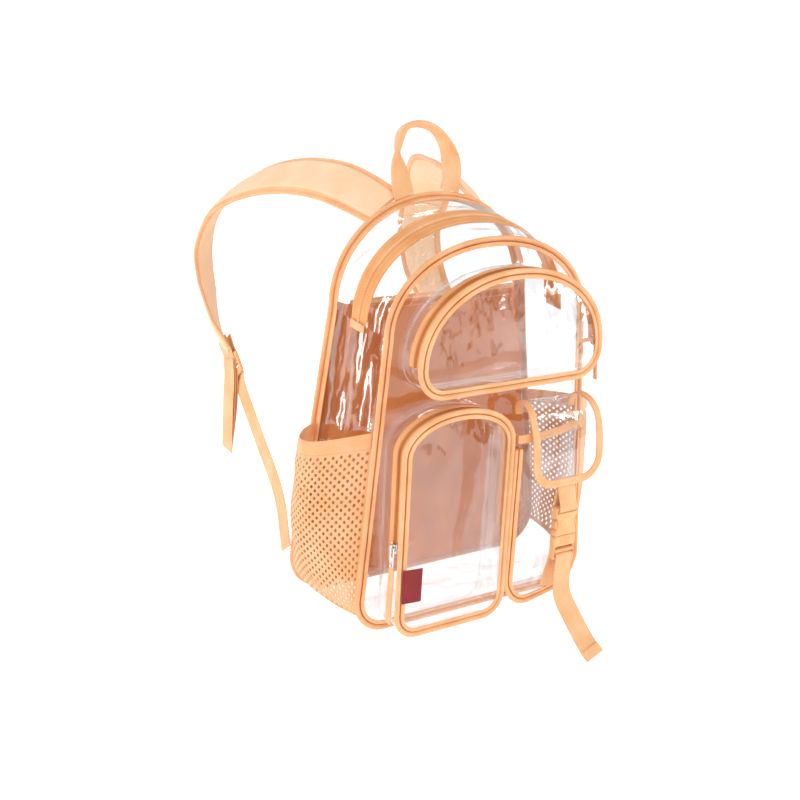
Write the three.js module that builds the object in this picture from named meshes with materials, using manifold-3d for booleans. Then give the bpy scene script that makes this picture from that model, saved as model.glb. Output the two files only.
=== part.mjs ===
// A clear vinyl backpack with peach trim, as it hangs from a wearer's shoulders.
// Lengths are millimetres. X runs to the right as the front is seen, -Y is the front,
// +Y points at the wearer's back, +Z is up. The origin lies between the two shoulder
// straps, at the height of their undersides where they rest on the shoulders.
import * as THREE from 'three';
import Module from 'manifold-3d';
import { mergeVertices } from 'three/addons/utils/BufferGeometryUtils.js';

const wasm = await Module();
wasm.setup();

// Walls, seams and trim
const vinylWall = 1.0;
const fabricWall = 2.0;
const tapeWall = 1.6;
const webbingWall = 1.6;
const seamGap = 0.4;
const pipingRadius = 2.6;
const flangeWidth = 7;
const flangeWall = 1.1;
const flangeGap = 0.6;
const bindingWidth = 9;
const bindingWall = 2.6;

// Main bag; widths, heights and edges are taken over the piping
const bagDepth = 113;
const backWidth = 338;
const backShoulder = 258;
const backHeight = 445;
const backSpring = 328;
const backCorner = 45;
const frontWidth = 306;
const frontShoulder = 262;
const frontHeight = 418;
const frontSpring = 320;
const frontCorner = 38;
const frontSag = 6;
const domePower = 2.1;
const gussetBulge = 5;
const frontCrown = 4;
const mainZipStart = 46;
const mainZipWidth = 30;
const coilHeight = 1.4;
const mainPark = 0.45;

// Inner sleeve against the back panel
const sleeveHeight = 332;
const sleeveDepth = 13;

// Upper front pocket
const upperSideMargin = 11;
const upperShift = 5;
const upperTopMargin = 26;
const pocketSpace = 12;
const upperDepth = 40;
const upperCorner = 35;
const upperCrown = 7;
const upperZipWidth = 20;

// Lower left pocket
const leftMargin = 22;
const leftTop = 250;
const leftLow = 2;
const leftRound = 45;
const leftCorner = 28;
const leftDepth = 43;
const leftCrown = 6;
const leftZipWidth = 20;
const leftZipLow = 104;

// Lower right pocket
const splitLine = 12.5;
const splitGap = 1.5;
const rightMargin = 11;
const rightTop = 208;
const rightLow = 4;
const rightCorner = 36;
const rightDepth = 37;
const rightEdgeDepth = 9;
const rightCrown = 7;
const flapHingeHeight = 221;
const flapHingeWidth = 82;
const flapWidth = 98;
const flapCorner = 30;
const flapShift = 4;
const flapReach = 48;
const flapDrop = 76;
const rimRound = 6;
const rimPower = 6;
const faceSweep = 1.6;

// Closing strap and buckle
const closingWebbing = 24;
const buckleWidth = 30;
const buckleLength = 62;
const buckleWall = 9;
const buckleTop = 120;
const buckleShift = 6;
const slotRoom = 1;
const lowerStrapLean = 4;
const tailReach = 46;
const tailDrop = 108;

// Side mesh pockets
const meshTopRear = 200;
const meshTopFront = 221;
const meshLowRear = 32;
const meshLowFront = 16;
const meshBulge = 40;
const meshBand = 14;
const meshDip = 8;
const meshInset = 1;

// Grab handle
const handleShift = -10;
const handleSpan = 60;
const handleRise = 69;
const handleLean = 24;
const handleWebbing = 25;
const gripWidth = 15;
const gripWall = 7;

// Shoulder straps
const strapWidth = 63;
const strapPad = 9;
const strapEdge = 3;
const strapSeat = 61;
const strapSplay = 95;
const strapReach = 249;
const strapFall = 198;
const strapWebbing = 25;
const adjusterLength = 26;
const adjusterWall = 4;
const adjusterGap = 2.4;
const slotWidth = 3.4;
const barWidth = 4;
const looseTail = 105;
const wingLow = 44;
const wingHigh = 128;
const wingReach = 46;
const wingTip = 100;
const webbingFoot = 8;
const shoulderRoom = 15;

// Zip slider and puller on the lower left pocket
const sliderLength = 12;
const sliderWidth = 10;
const sliderWall = 3.5;
const bridgeWidth = 3;
const ringRoom = 0.6;
const bridgeRoom = 3;
const bridgeBar = 1.3;
const pullerWall = 1.6;
const pullerWidth = 8;
const pullerLength = 24;
const pullerBar = 1.8;
const tabWidth = 10;
const tabLength = 62;

// Small fabric pieces
const endTabLength = 16;
const labelWidth = 22;
const labelHeight = 38;
const labelCentre = 65;
const upperPullWidth = 6;
const upperPullLength = 50;
const upperPark = 4;

// Steps of every outline, from the bottom centre round to the top centre
const bottomSteps = 2;
const cornerSteps = 4;
const sideSteps = 4;
const domeSteps = 8;
const springStep = bottomSteps + cornerSteps + sideSteps;
const topStep = springStep + domeSteps;
const outlineSteps = 2 * topStep;
const seamStep = 0.02;

const lerp = THREE.MathUtils.lerp;
const vector = (x, y, z) => new THREE.Vector3(x, y, z);

// Materials, one for each kind of surface
const finish = (color, roughness, metalness = 0, opacity = 1) => new THREE.MeshStandardMaterial({
  color, roughness, metalness, opacity, transparent: opacity < 1,
});
const clearVinyl = finish(0xeef2f4, 0.08, 0, 0.35);
const peachTrim = finish(0xf2b27c, 0.55);
const peachTape = finish(0xf0a868, 0.7);
const peachWebbing = finish(0xf4b781, 0.8);
const peachFabric = finish(0xf7cfa4, 0.75);
const peachMesh = finish(0xeaa566, 0.8);
const peachPlastic = finish(0xf0a763, 0.4);
const sleeveFabric = finish(0xd98a4f, 0.8);
const chrome = finish(0xd8dadc, 0.15, 1);
const redFabric = finish(0x8a1d22, 0.8);

const bag = new THREE.Group();
const pullerGroup = new THREE.Group();
bag.add(pullerGroup);

function addPiece(name, geometry, material, parent = bag) {
  const piece = new THREE.Mesh(geometry, material);
  piece.name = name;
  parent.add(piece);
  return piece;
}

// A closed body from points and triangles, turned so that its faces point out
function closedBody(points, triangles) {
  let volume = 0;
  for (const [a, b, c] of triangles) {
    volume += points[a].dot(new THREE.Vector3().crossVectors(points[b], points[c]));
  }
  const turned = volume < 0 ? triangles.map(([a, b, c]) => [a, c, b]) : triangles;
  const geometry = new THREE.BufferGeometry();
  geometry.setAttribute('position', new THREE.Float32BufferAttribute(points.flatMap((p) => p.toArray()), 3));
  geometry.setIndex(turned.flat());
  geometry.computeVertexNormals();
  return geometry;
}

// Skins a row of rings with equal counts; an end cap joins the first half of its ring to the second
function loft(rings, closed = false) {
  const count = rings[0].length;
  const triangles = [];
  const addQuad = (a, b, c, d) => triangles.push([a, b, c], [a, c, d]);
  const spans = closed ? rings.length : rings.length - 1;
  for (let ring = 0; ring < spans; ring++) {
    const here = ring * count;
    const next = ((ring + 1) % rings.length) * count;
    for (let k = 0; k < count; k++) {
      const after = (k + 1) % count;
      addQuad(here + k, here + after, next + after, next + k);
    }
  }
  if (!closed) {
    const end = (rings.length - 1) * count;
    for (let k = 0; k < count / 2 - 1; k++) {
      addQuad(k, count - 1 - k, count - 2 - k, k + 1);
      addQuad(end + k, end + k + 1, end + count - 2 - k, end + count - 1 - k);
    }
  }
  return closedBody(rings.flat(), triangles);
}

// Piping and its stitched flange round the edge of a sheet: n is outward, d is away from the sheet's face
const pipingCentre = pipingRadius + 2 * seamGap;
const pipingReach = pipingCentre + pipingRadius;
const pipingSection = [
  { n: -flangeWidth, d: flangeGap },
  { n: 0, d: flangeGap },
  { n: pipingCentre - 0.8 * pipingRadius, d: -0.7 * pipingRadius },
  { n: pipingCentre + 0.5 * pipingRadius, d: -0.86 * pipingRadius },
  { n: pipingCentre + pipingRadius, d: 0.2 * pipingRadius },
  { n: pipingCentre, d: pipingRadius },
  { n: -0.35 * pipingRadius, d: 2 * flangeGap + flangeWall },
  { n: -flangeWidth, d: flangeGap + flangeWall },
];

// An outline that is given over its piping: rounded bottom corners, straight sides and a superellipse top;
// lean moves the top sideways
function arch({ centre = 0, lean = 0, ...size }) {
  const { power } = size;
  const low = size.low + pipingReach;
  const high = size.high - pipingReach;
  const { spring } = size;
  const corner = size.corner - pipingReach;
  const half = size.width / 2 - pipingReach;
  const halfTop = size.shoulder / 2 - pipingReach;
  const bottom = (t) => [t * (half - corner), low];
  const turn = (t) => {
    const angle = t * Math.PI / 2;
    return [half - corner + corner * Math.sin(angle), low + corner - corner * Math.cos(angle)];
  };
  const side = (t) => [lerp(half, halfTop, t), lerp(low + corner, spring, t)];
  const dome = (t) => {
    const angle = t * Math.PI / 2;
    const across = Math.max(0, Math.cos(angle)) ** (2 / power);
    return [halfTop * across, spring + (high - spring) * Math.sin(angle) ** (2 / power)];
  };
  const parts = [[bottom, bottomSteps], [turn, cornerSteps], [side, sideSteps], [dome, domeSteps]];
  const rightHalf = [[0, low]];
  for (const [part, steps] of parts) {
    for (let k = 1; k <= steps; k++) rightHalf.push(part(k / steps));
  }
  const leftHalf = rightHalf.slice(1, -1).reverse().map(([x, z]) => [-x, z]);
  const points = [...rightHalf, ...leftHalf].map(([x, z]) => ({
    x: x + centre + lean * (z - low) / (high - low), z,
  }));
  const halfWidthAt = (z) => {
    if (z < low + corner) return half - corner + Math.sqrt(Math.max(0, corner ** 2 - (low + corner - z) ** 2));
    if (z < spring) return lerp(half, halfTop, (z - low - corner) / (spring - low - corner));
    return halfTop * Math.max(0, 1 - ((z - spring) / (high - spring)) ** power) ** (1 / power);
  };
  const heightAt = (x) => {
    const across = Math.abs((x - centre) / halfTop);
    return spring + (high - spring) * (1 - across ** power) ** (1 / power);
  };
  const middle = { x: centre + lean / 2, z: (low + high) / 2 };
  return { points, centre, low, high, spring, halfWidthAt, heightAt, middle };
}

// A point of an outline at a step that may lie between two of its points
function outlineAt(outline, step) {
  const wrapped = ((step % outlineSteps) + outlineSteps) % outlineSteps;
  const first = Math.floor(wrapped);
  const a = outline.points[first];
  const b = outline.points[(first + 1) % outlineSteps];
  return { x: lerp(a.x, b.x, wrapped - first), z: lerp(a.z, b.z, wrapped - first) };
}

// The step on the right-hand straight side that lies at a height
function sideStepAt(outline, z) {
  const start = outline.points[bottomSteps + cornerSteps].z;
  const end = outline.points[springStep].z;
  return bottomSteps + cornerSteps + sideSteps * (z - start) / (end - start);
}

// Outward direction of an outline in its own plane
function outlineNormal(outline, step) {
  const before = outlineAt(outline, step - 0.5);
  const after = outlineAt(outline, step + 0.5);
  const length = Math.hypot(after.x - before.x, after.z - before.z);
  return { x: (after.z - before.z) / length, z: -(after.x - before.x) / length };
}

// How far a point lies from the middle of an outline, as a share of the way to its edge
function radialShare(outline, x, z) {
  const { middle, points } = outline;
  const dx = x - middle.x;
  const dz = z - middle.z;
  if (Math.hypot(dx, dz) < 1e-6) return 0;
  for (let k = 0; k < outlineSteps; k++) {
    const a = points[k];
    const b = points[(k + 1) % outlineSteps];
    const ex = b.x - a.x;
    const ez = b.z - a.z;
    const cross = dx * ez - dz * ex;
    if (Math.abs(cross) < 1e-9) continue;
    const reach = ((a.x - middle.x) * ez - (a.z - middle.z) * ex) / cross;
    const along = ((a.x - middle.x) * dz - (a.z - middle.z) * dx) / cross;
    if (reach > 0 && along >= -1e-6 && along <= 1 + 1e-6) return 1 / reach;
  }
  return 1;
}

// A crowned sheet inside an outline: facing is -1 for the front and +1 for the back
function makeSheet(outline, facing, rim, crown) {
  const depth = (x, z) => {
    const share = Math.min(1, radialShare(outline, x, z));
    return rim(x, z) + crown * (1 - share ** 2);
  };
  return { outline, facing, depth };
}

const panelRings = [1, 0.7, 0.35];

// The sheet as a thin closed body, its inner face on the sheet's depth
function sheetBody(sheet, wall) {
  const { outline, facing, depth } = sheet;
  const { middle } = outline;
  const points = [];
  for (const offset of [wall, 0]) {
    for (const share of panelRings) {
      for (const edge of outline.points) {
        const x = lerp(middle.x, edge.x, share);
        const z = lerp(middle.z, edge.z, share);
        points.push(vector(x, facing * (depth(x, z) + offset), z));
      }
    }
    points.push(vector(middle.x, facing * (depth(middle.x, middle.z) + offset), middle.z));
  }
  const layer = panelRings.length * outlineSteps + 1;
  const triangles = [];
  for (const [start, order] of [[0, 1], [layer, -1]]) {
    const add = (a, b, c) => triangles.push(order > 0 ? [a, b, c] : [a, c, b]);
    for (let k = 0; k < outlineSteps; k++) {
      const after = (k + 1) % outlineSteps;
      for (let ring = 0; ring < panelRings.length - 1; ring++) {
        const outer = start + ring * outlineSteps;
        const inner = outer + outlineSteps;
        add(outer + k, outer + after, inner + after);
        add(outer + k, inner + after, inner + k);
      }
      const last = start + (panelRings.length - 1) * outlineSteps;
      add(last + k, last + after, start + layer - 1);
    }
  }
  for (let k = 0; k < outlineSteps; k++) {
    const after = (k + 1) % outlineSteps;
    triangles.push([after, k, layer + k], [after, layer + k, layer + after]);
  }
  return closedBody(points, triangles);
}

// Piping all round a sheet, or from one step of its outline to another
function piping(sheet, wall, from = 0, to = outlineSteps) {
  const { outline, facing, depth } = sheet;
  const closed = to - from === outlineSteps;
  const rings = [];
  for (let step = from; step < to + (closed ? 0 : 1); step++) {
    const edge = outlineAt(outline, step);
    const normal = outlineNormal(outline, step);
    rings.push(pipingSection.map(({ n, d }) => {
      const x = edge.x + n * normal.x;
      const z = edge.z + n * normal.z;
      return vector(x, facing * (depth(x, z) + wall + d), z);
    }));
  }
  return loft(rings, closed);
}

// A curved wall between a rear and a front outline; rearY and frontY give each edge its depth
function makeShell(rear, front, rearY, frontY, bulge) {
  return (step, share, lift) => {
    const a = outlineAt(rear, step);
    const b = outlineAt(front, step);
    const na = outlineNormal(rear, step);
    const nb = outlineNormal(front, step);
    const out = lift + bulge * 4 * share * (1 - share);
    const x = lerp(a.x, b.x, share) + out * lerp(na.x, nb.x, share);
    const z = lerp(a.z, b.z, share) + out * lerp(na.z, nb.z, share);
    return vector(x, lerp(rearY(a.x, a.z), frontY(b.x, b.z), share), z);
  };
}

// A strip of a shell: shares run from rear to front, ridges raise the rows of a zip coil
function strip(shell, from, to, shares, wall, ridges = shares.map(() => 0)) {
  const steps = [from];
  for (let step = Math.floor(from) + 1; step < to - 1e-6; step++) steps.push(step);
  steps.push(to);
  return loft(steps.map((step) => [
    ...shares.map((share, k) => shell(step, share, ridges[k])),
    ...shares.map((share) => shell(step, share, -wall)).reverse(),
  ]));
}

const zipShares = (start, end) => [0, 0.4, 0.5, 0.6, 1].map((t) => lerp(start, end, t));
const zipRidges = [0, 0, coilHeight, 0, 0];

// A flat or padded band along a smooth path; rows give place, face direction, width and height
const bandSection = [-0.5, -0.37, -0.2, 0.2, 0.37, 0.5];
function band(rows, samples, { edge = null } = {}) {
  const path = new THREE.CatmullRomCurve3(rows.map((row) => row.at), false, 'centripetal');
  const rings = [];
  for (let k = 0; k <= samples; k++) {
    const t = k / samples;
    const place = Math.min(rows.length - 1 - 1e-9, t * (rows.length - 1));
    const first = Math.floor(place);
    const mix = place - first;
    const at = path.getPoint(t);
    const along = path.getTangent(t);
    const face = rows[first].face.clone().lerp(rows[first + 1].face, mix);
    const across = new THREE.Vector3().crossVectors(along, face).normalize();
    const up = new THREE.Vector3().crossVectors(across, along).normalize();
    const width = lerp(rows[first].width, rows[first + 1].width, mix);
    const height = lerp(rows[first].height, rows[first + 1].height, mix);
    const columns = edge === null ? [-0.5, 0.5] : bandSection;
    const wallAt = (q) => (edge !== null && Math.abs(q) > 0.3 ? Math.min(edge, height) : height);
    const point = (q, side) => at.clone().addScaledVector(across, q * width)
      .addScaledVector(up, side * wallAt(q) / 2);
    rings.push([...columns.map((q) => point(q, 1)), ...columns.map((q) => point(q, -1)).reverse()]);
  }
  return loft(rings);
}

// Geometry of a flat plate in a local frame: right, up and out are its axes
function placed(geometry, origin, right, up, out) {
  const basis = new THREE.Matrix4().makeBasis(right, up, out).setPosition(origin);
  return geometry.clone().applyMatrix4(basis);
}

function plate(shape, wall) {
  const geometry = new THREE.ExtrudeGeometry(shape, { depth: wall, bevelEnabled: false, curveSegments: 6 });
  return geometry.translate(0, 0, -wall / 2);
}

function roundedRectangle(width, height, radius) {
  const shape = new THREE.Shape();
  const [w, h, r] = [width / 2, height / 2, radius];
  shape.moveTo(-w + r, -h);
  shape.lineTo(w - r, -h);
  shape.absarc(w - r, -h + r, r, -Math.PI / 2, 0, false);
  shape.lineTo(w, h - r);
  shape.absarc(w - r, h - r, r, 0, Math.PI / 2, false);
  shape.lineTo(-w + r, h);
  shape.absarc(-w + r, h - r, r, Math.PI / 2, Math.PI, false);
  shape.lineTo(-w, -h + r);
  shape.absarc(-w + r, -h + r, r, Math.PI, 1.5 * Math.PI, false);
  return shape;
}

function rectangleHole(centreX, centreY, width, height) {
  const hole = new THREE.Path();
  hole.moveTo(centreX - width / 2, centreY - height / 2);
  hole.lineTo(centreX - width / 2, centreY + height / 2);
  hole.lineTo(centreX + width / 2, centreY + height / 2);
  hole.lineTo(centreX + width / 2, centreY - height / 2);
  hole.closePath();
  return hole;
}

function toSolid(geometry) {
  const bare = geometry.clone();
  bare.deleteAttribute('normal');
  bare.deleteAttribute('uv');
  const merged = mergeVertices(bare, 1e-4);
  return new wasm.Manifold(new wasm.Mesh({
    numProp: 3,
    vertProperties: new Float32Array(merged.attributes.position.array),
    triVerts: new Uint32Array(merged.index.array),
  }));
}

function joined(first, second) {
  const mesh = toSolid(first).add(toSolid(second)).getMesh();
  const geometry = new THREE.BufferGeometry();
  geometry.setAttribute('position', new THREE.Float32BufferAttribute(mesh.vertProperties, 3));
  geometry.setIndex(Array.from(mesh.triVerts));
  geometry.computeVertexNormals();
  return geometry;
}

// Main bag outlines
const backOutline = arch({
  width: backWidth, shoulder: backShoulder, low: 0, high: backHeight,
  spring: backSpring, corner: backCorner, power: domePower,
});
const frontOutline = arch({
  width: frontWidth, shoulder: frontShoulder, low: -frontSag, high: frontHeight,
  spring: frontSpring, corner: frontCorner, power: domePower,
});
const backSheet = makeSheet(backOutline, 1, () => 0, 0);
const frontSheet = makeSheet(frontOutline, -1, () => bagDepth, frontCrown);
const mainShell = makeShell(backOutline, frontOutline, () => -seamGap, () => seamGap - bagDepth, gussetBulge);
const frontFace = (x, z) => -(frontSheet.depth(x, z) + vinylWall + seamGap);

function buildMainBag() {
  addPiece('back_panel', sheetBody(backSheet, vinylWall), clearVinyl);
  addPiece('back_piping', piping(backSheet, vinylWall), peachTrim);
  addPiece('front_panel', sheetBody(frontSheet, vinylWall), clearVinyl);
  addPiece('front_piping', piping(frontSheet, vinylWall), peachTrim);
  const lowerShares = [0, 0.3, 0.7, 1];
  const lower = strip(mainShell, -springStep, springStep, lowerShares, vinylWall);
  addPiece('lower_gusset', lower, clearVinyl);
  const zipFrom = mainZipStart / bagDepth;
  const zipTo = (mainZipStart + mainZipWidth) / bagDepth;
  const gapShare = seamGap / bagDepth;
  const first = springStep + seamStep;
  const last = outlineSteps - springStep - seamStep;
  const rearShares = [0, zipFrom / 2, zipFrom - gapShare];
  addPiece('rear_top_gusset', strip(mainShell, first, last, rearShares, vinylWall), clearVinyl);
  const tape = strip(mainShell, first, last, zipShares(zipFrom, zipTo), tapeWall, zipRidges);
  addPiece('main_zip_tape', tape, peachTape);
  const frontShares = [zipTo + gapShare, (1 + zipTo) / 2, 1];
  addPiece('front_top_gusset', strip(mainShell, first, last, frontShares, vinylWall), clearVinyl);
}

// Fabric sleeve: a shallow channel whose two side walls reach back to the back panel
function buildSleeve() {
  const rows = [0, 0.03, 0.07, 0.12, 0.36, 0.6, 0.82, 1];
  const foot = backOutline.low + 4 * vinylWall;
  const rear = -seamGap;
  const front = rear - sleeveDepth;
  const rings = rows.map((share) => {
    const z = lerp(foot, sleeveHeight, share);
    const half = backOutline.halfWidthAt(z) - fabricWall - 2 * vinylWall;
    const corner = (x, y) => vector(x, y, z);
    const inner = half - fabricWall;
    return [
      corner(-half, rear), corner(-half, front), corner(half, front), corner(half, rear),
      corner(inner, rear), corner(inner, front + fabricWall), corner(-inner, front + fabricWall), corner(-inner, rear),
    ];
  });
  addPiece('inner_sleeve', loft(rings), sleeveFabric);
}

// Upper front pocket
const upperLow = leftTop + pocketSpace;
const upperHigh = frontHeight - upperTopMargin;
const upperWidth = frontShoulder - 2 * upperSideMargin;
const upperOutline = arch({
  centre: upperShift, width: upperWidth, shoulder: upperWidth, low: upperLow, high: upperHigh,
  spring: upperLow + upperCorner, corner: upperCorner - 1, power: domePower,
});
const upperRim = bagDepth + vinylWall + upperDepth;
const upperSheet = makeSheet(upperOutline, -1, () => upperRim, upperCrown);
const upperShell = makeShell(upperOutline, upperOutline, frontFace, () => seamGap - upperRim, 0);

// Lower left pocket
const leftEdge = -(frontWidth / 2 - leftMargin);
const leftInner = splitLine - splitGap / 2;
const leftWidth = leftInner - leftEdge;
const leftSide = leftEdge + pipingReach;
const leftOutline = arch({
  centre: (leftEdge + leftInner) / 2, width: leftWidth, shoulder: leftWidth, low: leftLow, high: leftTop,
  spring: leftTop - leftRound, corner: leftCorner, power: domePower,
});
const leftRim = bagDepth + vinylWall + leftDepth;
const leftSheet = makeSheet(leftOutline, -1, () => leftRim, leftCrown);
const leftShell = makeShell(leftOutline, leftOutline, frontFace, () => seamGap - leftRim, 0);

// A zipped pocket: a clear gusset below, a clear rear strip and a zip tape over the top, face and piping
function buildZippedPocket(name, { outline, sheet, shell, depth, zipWidth, zipLow }) {
  const zipStep = Math.min(springStep, sideStepAt(outline, zipLow));
  const split = 1 - zipWidth / depth;
  const gusset = strip(shell, -zipStep + seamStep, zipStep - seamStep, [0, 0.5, 1], vinylWall);
  addPiece(`${name}_gusset`, gusset, clearVinyl);
  const first = zipStep;
  const last = outlineSteps - zipStep;
  const rearStrip = strip(shell, first, last, [0, split - seamGap / depth], vinylWall);
  addPiece(`${name}_rear_strip`, rearStrip, clearVinyl);
  const tape = strip(shell, first, last, zipShares(split, 1), tapeWall, zipRidges);
  addPiece(`${name}_zip_tape`, tape, peachTape);
  addPiece(`${name}_face`, sheetBody(sheet, vinylWall), clearVinyl);
  addPiece(`${name}_piping`, piping(sheet, vinylWall), peachTrim);
}

// A folded fabric tab that closes the end of a zip, laid inside the gusset
function endTab(shell, step, share, length, width) {
  const top = shell(step, share, -tapeWall - seamGap);
  const out = shell(step, share, 1).sub(shell(step, share, 0));
  const inward = out.clone().negate();
  const rows = [0, 1].map((t) => ({
    at: top.clone().addScaledVector(inward, t * length), face: vector(0, 0, 1), width, height: fabricWall,
  }));
  return band(rows, 1);
}

// Lower right pocket: its face leans back towards the bag's right edge
const rightEdge = frontWidth / 2 - rightMargin;
const rightInner = splitLine + splitGap / 2;
const rightWidth = rightEdge - rightInner;
const rightCentre = (rightEdge + rightInner) / 2;
const rightBodyTop = rightTop - bindingWidth;
const rightShoulder = frontOutline.halfWidthAt(rightTop) + pipingReach - rightMargin - rightInner;
const rightLean = (rightShoulder - rightWidth) / 2;
const rightOutline = arch({
  centre: rightCentre, lean: rightLean, width: rightWidth, shoulder: rightShoulder,
  low: rightLow, high: rightBodyTop + pipingReach, spring: rightBodyTop - rimRound, corner: rightCorner,
  power: rimPower,
});
const rightRim = (x) => {
  const share = THREE.MathUtils.clamp((x - rightInner - pipingReach) / (rightWidth - 2 * pipingReach), 0, 1);
  return bagDepth + vinylWall + frontCrown + lerp(rightDepth, rightEdgeDepth, share ** faceSweep);
};
const rightSheet = makeSheet(rightOutline, -1, (x) => rightRim(x), rightCrown);
const rightShell = makeShell(rightOutline, rightOutline, frontFace, (x) => seamGap - rightRim(x), 0);

// Fold lines of the rim binding: back along the gusset, across the face and back again
function buildRim() {
  const z = rightBodyTop + seamGap;
  const half = rightShoulder / 2 - pipingReach;
  const middle = rightCentre + rightLean;
  const columns = [-1, -0.97, -0.8, -0.5, -0.2, 0.1, 0.4, 0.7, 0.95, 1];
  const path = [vector(middle - half, frontFace(middle - half, z), z)];
  for (const q of columns) {
    const x = middle + q * half;
    const bow = rightCrown * 0.6 * (1 - q * q);
    path.push(vector(x, -(rightRim(x) + bow), z));
  }
  path.push(vector(middle + half, frontFace(middle + half, z), z));
  const rings = path.map((at, k) => {
    const before = path[Math.max(0, k - 1)];
    const after = path[Math.min(path.length - 1, k + 1)];
    const along = after.clone().sub(before).normalize();
    const out = vector(along.y, -along.x, 0);
    const corner = (side, height) => at.clone().addScaledVector(out, side * bindingWall / 2)
      .add(vector(0, 0, height));
    return [corner(-1, 0), corner(1, 0), corner(1, bindingWidth), corner(-1, bindingWidth)];
  });
  addPiece('right_pocket_rim', loft(rings), peachTrim);
}

// Side view of the flap from its sewn foot on the front panel, over the rim and down the face
const flapTable = [
  { reach: 0.00, drop: -0.03 },
  { reach: 0.01, drop: 0.12 },
  { reach: 0.22, drop: 0.20 },
  { reach: 0.58, drop: 0.13 },
  { reach: 0.84, drop: -0.12 },
  { reach: 0.95, drop: -0.45 },
  { reach: 1.00, drop: -1.00 },
];
const flapFoot = bagDepth + frontCrown + vinylWall + bindingWall / 2 + seamGap;
const flapPath = new THREE.CatmullRomCurve3(flapTable.map(({ reach, drop }) => vector(
  0, -(flapFoot + reach * flapReach), flapHingeHeight + drop * flapDrop,
)), false, 'centripetal');
const flapLength = flapPath.getLength();
const flapCornerSteps = 6;
const flapCentre = rightCentre + flapShift;

// A point of the flap at a distance across and down it, lifted off its middle surface
function flapPoint(x, down, lift) {
  const t = THREE.MathUtils.clamp(down / flapLength, 0, 1);
  const at = flapPath.getPointAt(t);
  const along = flapPath.getTangentAt(t);
  const out = vector(0, along.z, -along.y);
  return vector(flapCentre + x, at.y + lift * out.y, at.z + lift * out.z);
}

// Half width of the flap's outer edge at a distance down it
function flapHalf(down) {
  const wide = lerp(flapHingeWidth, flapWidth, Math.min(1, down / (flapLength * 0.4))) / 2;
  const into = down - (flapLength - flapCorner);
  return into > 0 ? wide - flapCorner + Math.sqrt(Math.max(0, flapCorner ** 2 - into ** 2)) : wide;
}

function buildFlap() {
  const end = flapLength - bindingWidth - 1.5 * seamGap;
  const count = 14;
  const rings = [];
  for (let k = 0; k <= count; k++) {
    const down = end * k / count;
    const outer = flapHalf(down) - bindingWidth - seamGap;
    const inCorner = Math.max(0, down - (flapLength - flapCorner));
    const radius = flapCorner - bindingWidth - 1.5 * seamGap;
    const half = inCorner > 0
      ? flapWidth / 2 - flapCorner + Math.sqrt(Math.max(0, radius ** 2 - inCorner ** 2))
      : outer;
    const columns = [-1, -0.4, 0.4, 1];
    rings.push([
      ...columns.map((q) => flapPoint(q * half, down, vinylWall / 2)),
      ...columns.map((q) => flapPoint(q * half, down, -vinylWall / 2)).reverse(),
    ]);
  }
  addPiece('flap', loft(rings), clearVinyl);
  addPiece('flap_binding', flapBinding(), peachTrim);
}

// Binding round both sides and the bottom of the flap, in the flap's own surface
function flapBinding() {
  const edge = [];
  const straight = flapLength - flapCorner;
  const sideCount = 8;
  for (let k = 0; k < sideCount; k++) {
    const down = straight * k / sideCount;
    edge.push({ x: flapHalf(down), down, nx: 1, nd: 0 });
  }
  const half = flapWidth / 2;
  for (let k = 0; k <= flapCornerSteps; k++) {
    const angle = (k / flapCornerSteps) * Math.PI / 2;
    const [c, s] = [Math.cos(angle), Math.sin(angle)];
    edge.push({ x: half - flapCorner + flapCorner * c, down: straight + flapCorner * s, nx: c, nd: s });
  }
  const mirrored = edge.slice().reverse().map((row) => ({ ...row, x: -row.x, nx: -row.nx }));
  const rows = [...edge, ...mirrored];
  return loft(rows.map(({ x, down, nx, nd }) => {
    const inner = [x - bindingWidth * nx, down - bindingWidth * nd];
    return [
      flapPoint(x, down, bindingWall / 2), flapPoint(...inner, bindingWall / 2),
      flapPoint(...inner, -bindingWall / 2), flapPoint(x, down, -bindingWall / 2),
    ];
  }));
}

function buildRightPocket() {
  const shares = [0, 0.5, 1];
  addPiece('right_pocket_gusset', strip(rightShell, -springStep, springStep, shares, vinylWall), clearVinyl);
  addPiece('right_pocket_face', sheetBody(rightSheet, vinylWall), clearVinyl);
  addPiece('right_pocket_piping', piping(rightSheet, vinylWall, -springStep, springStep), peachTrim);
  buildRim();
  buildFlap();
}

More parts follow.
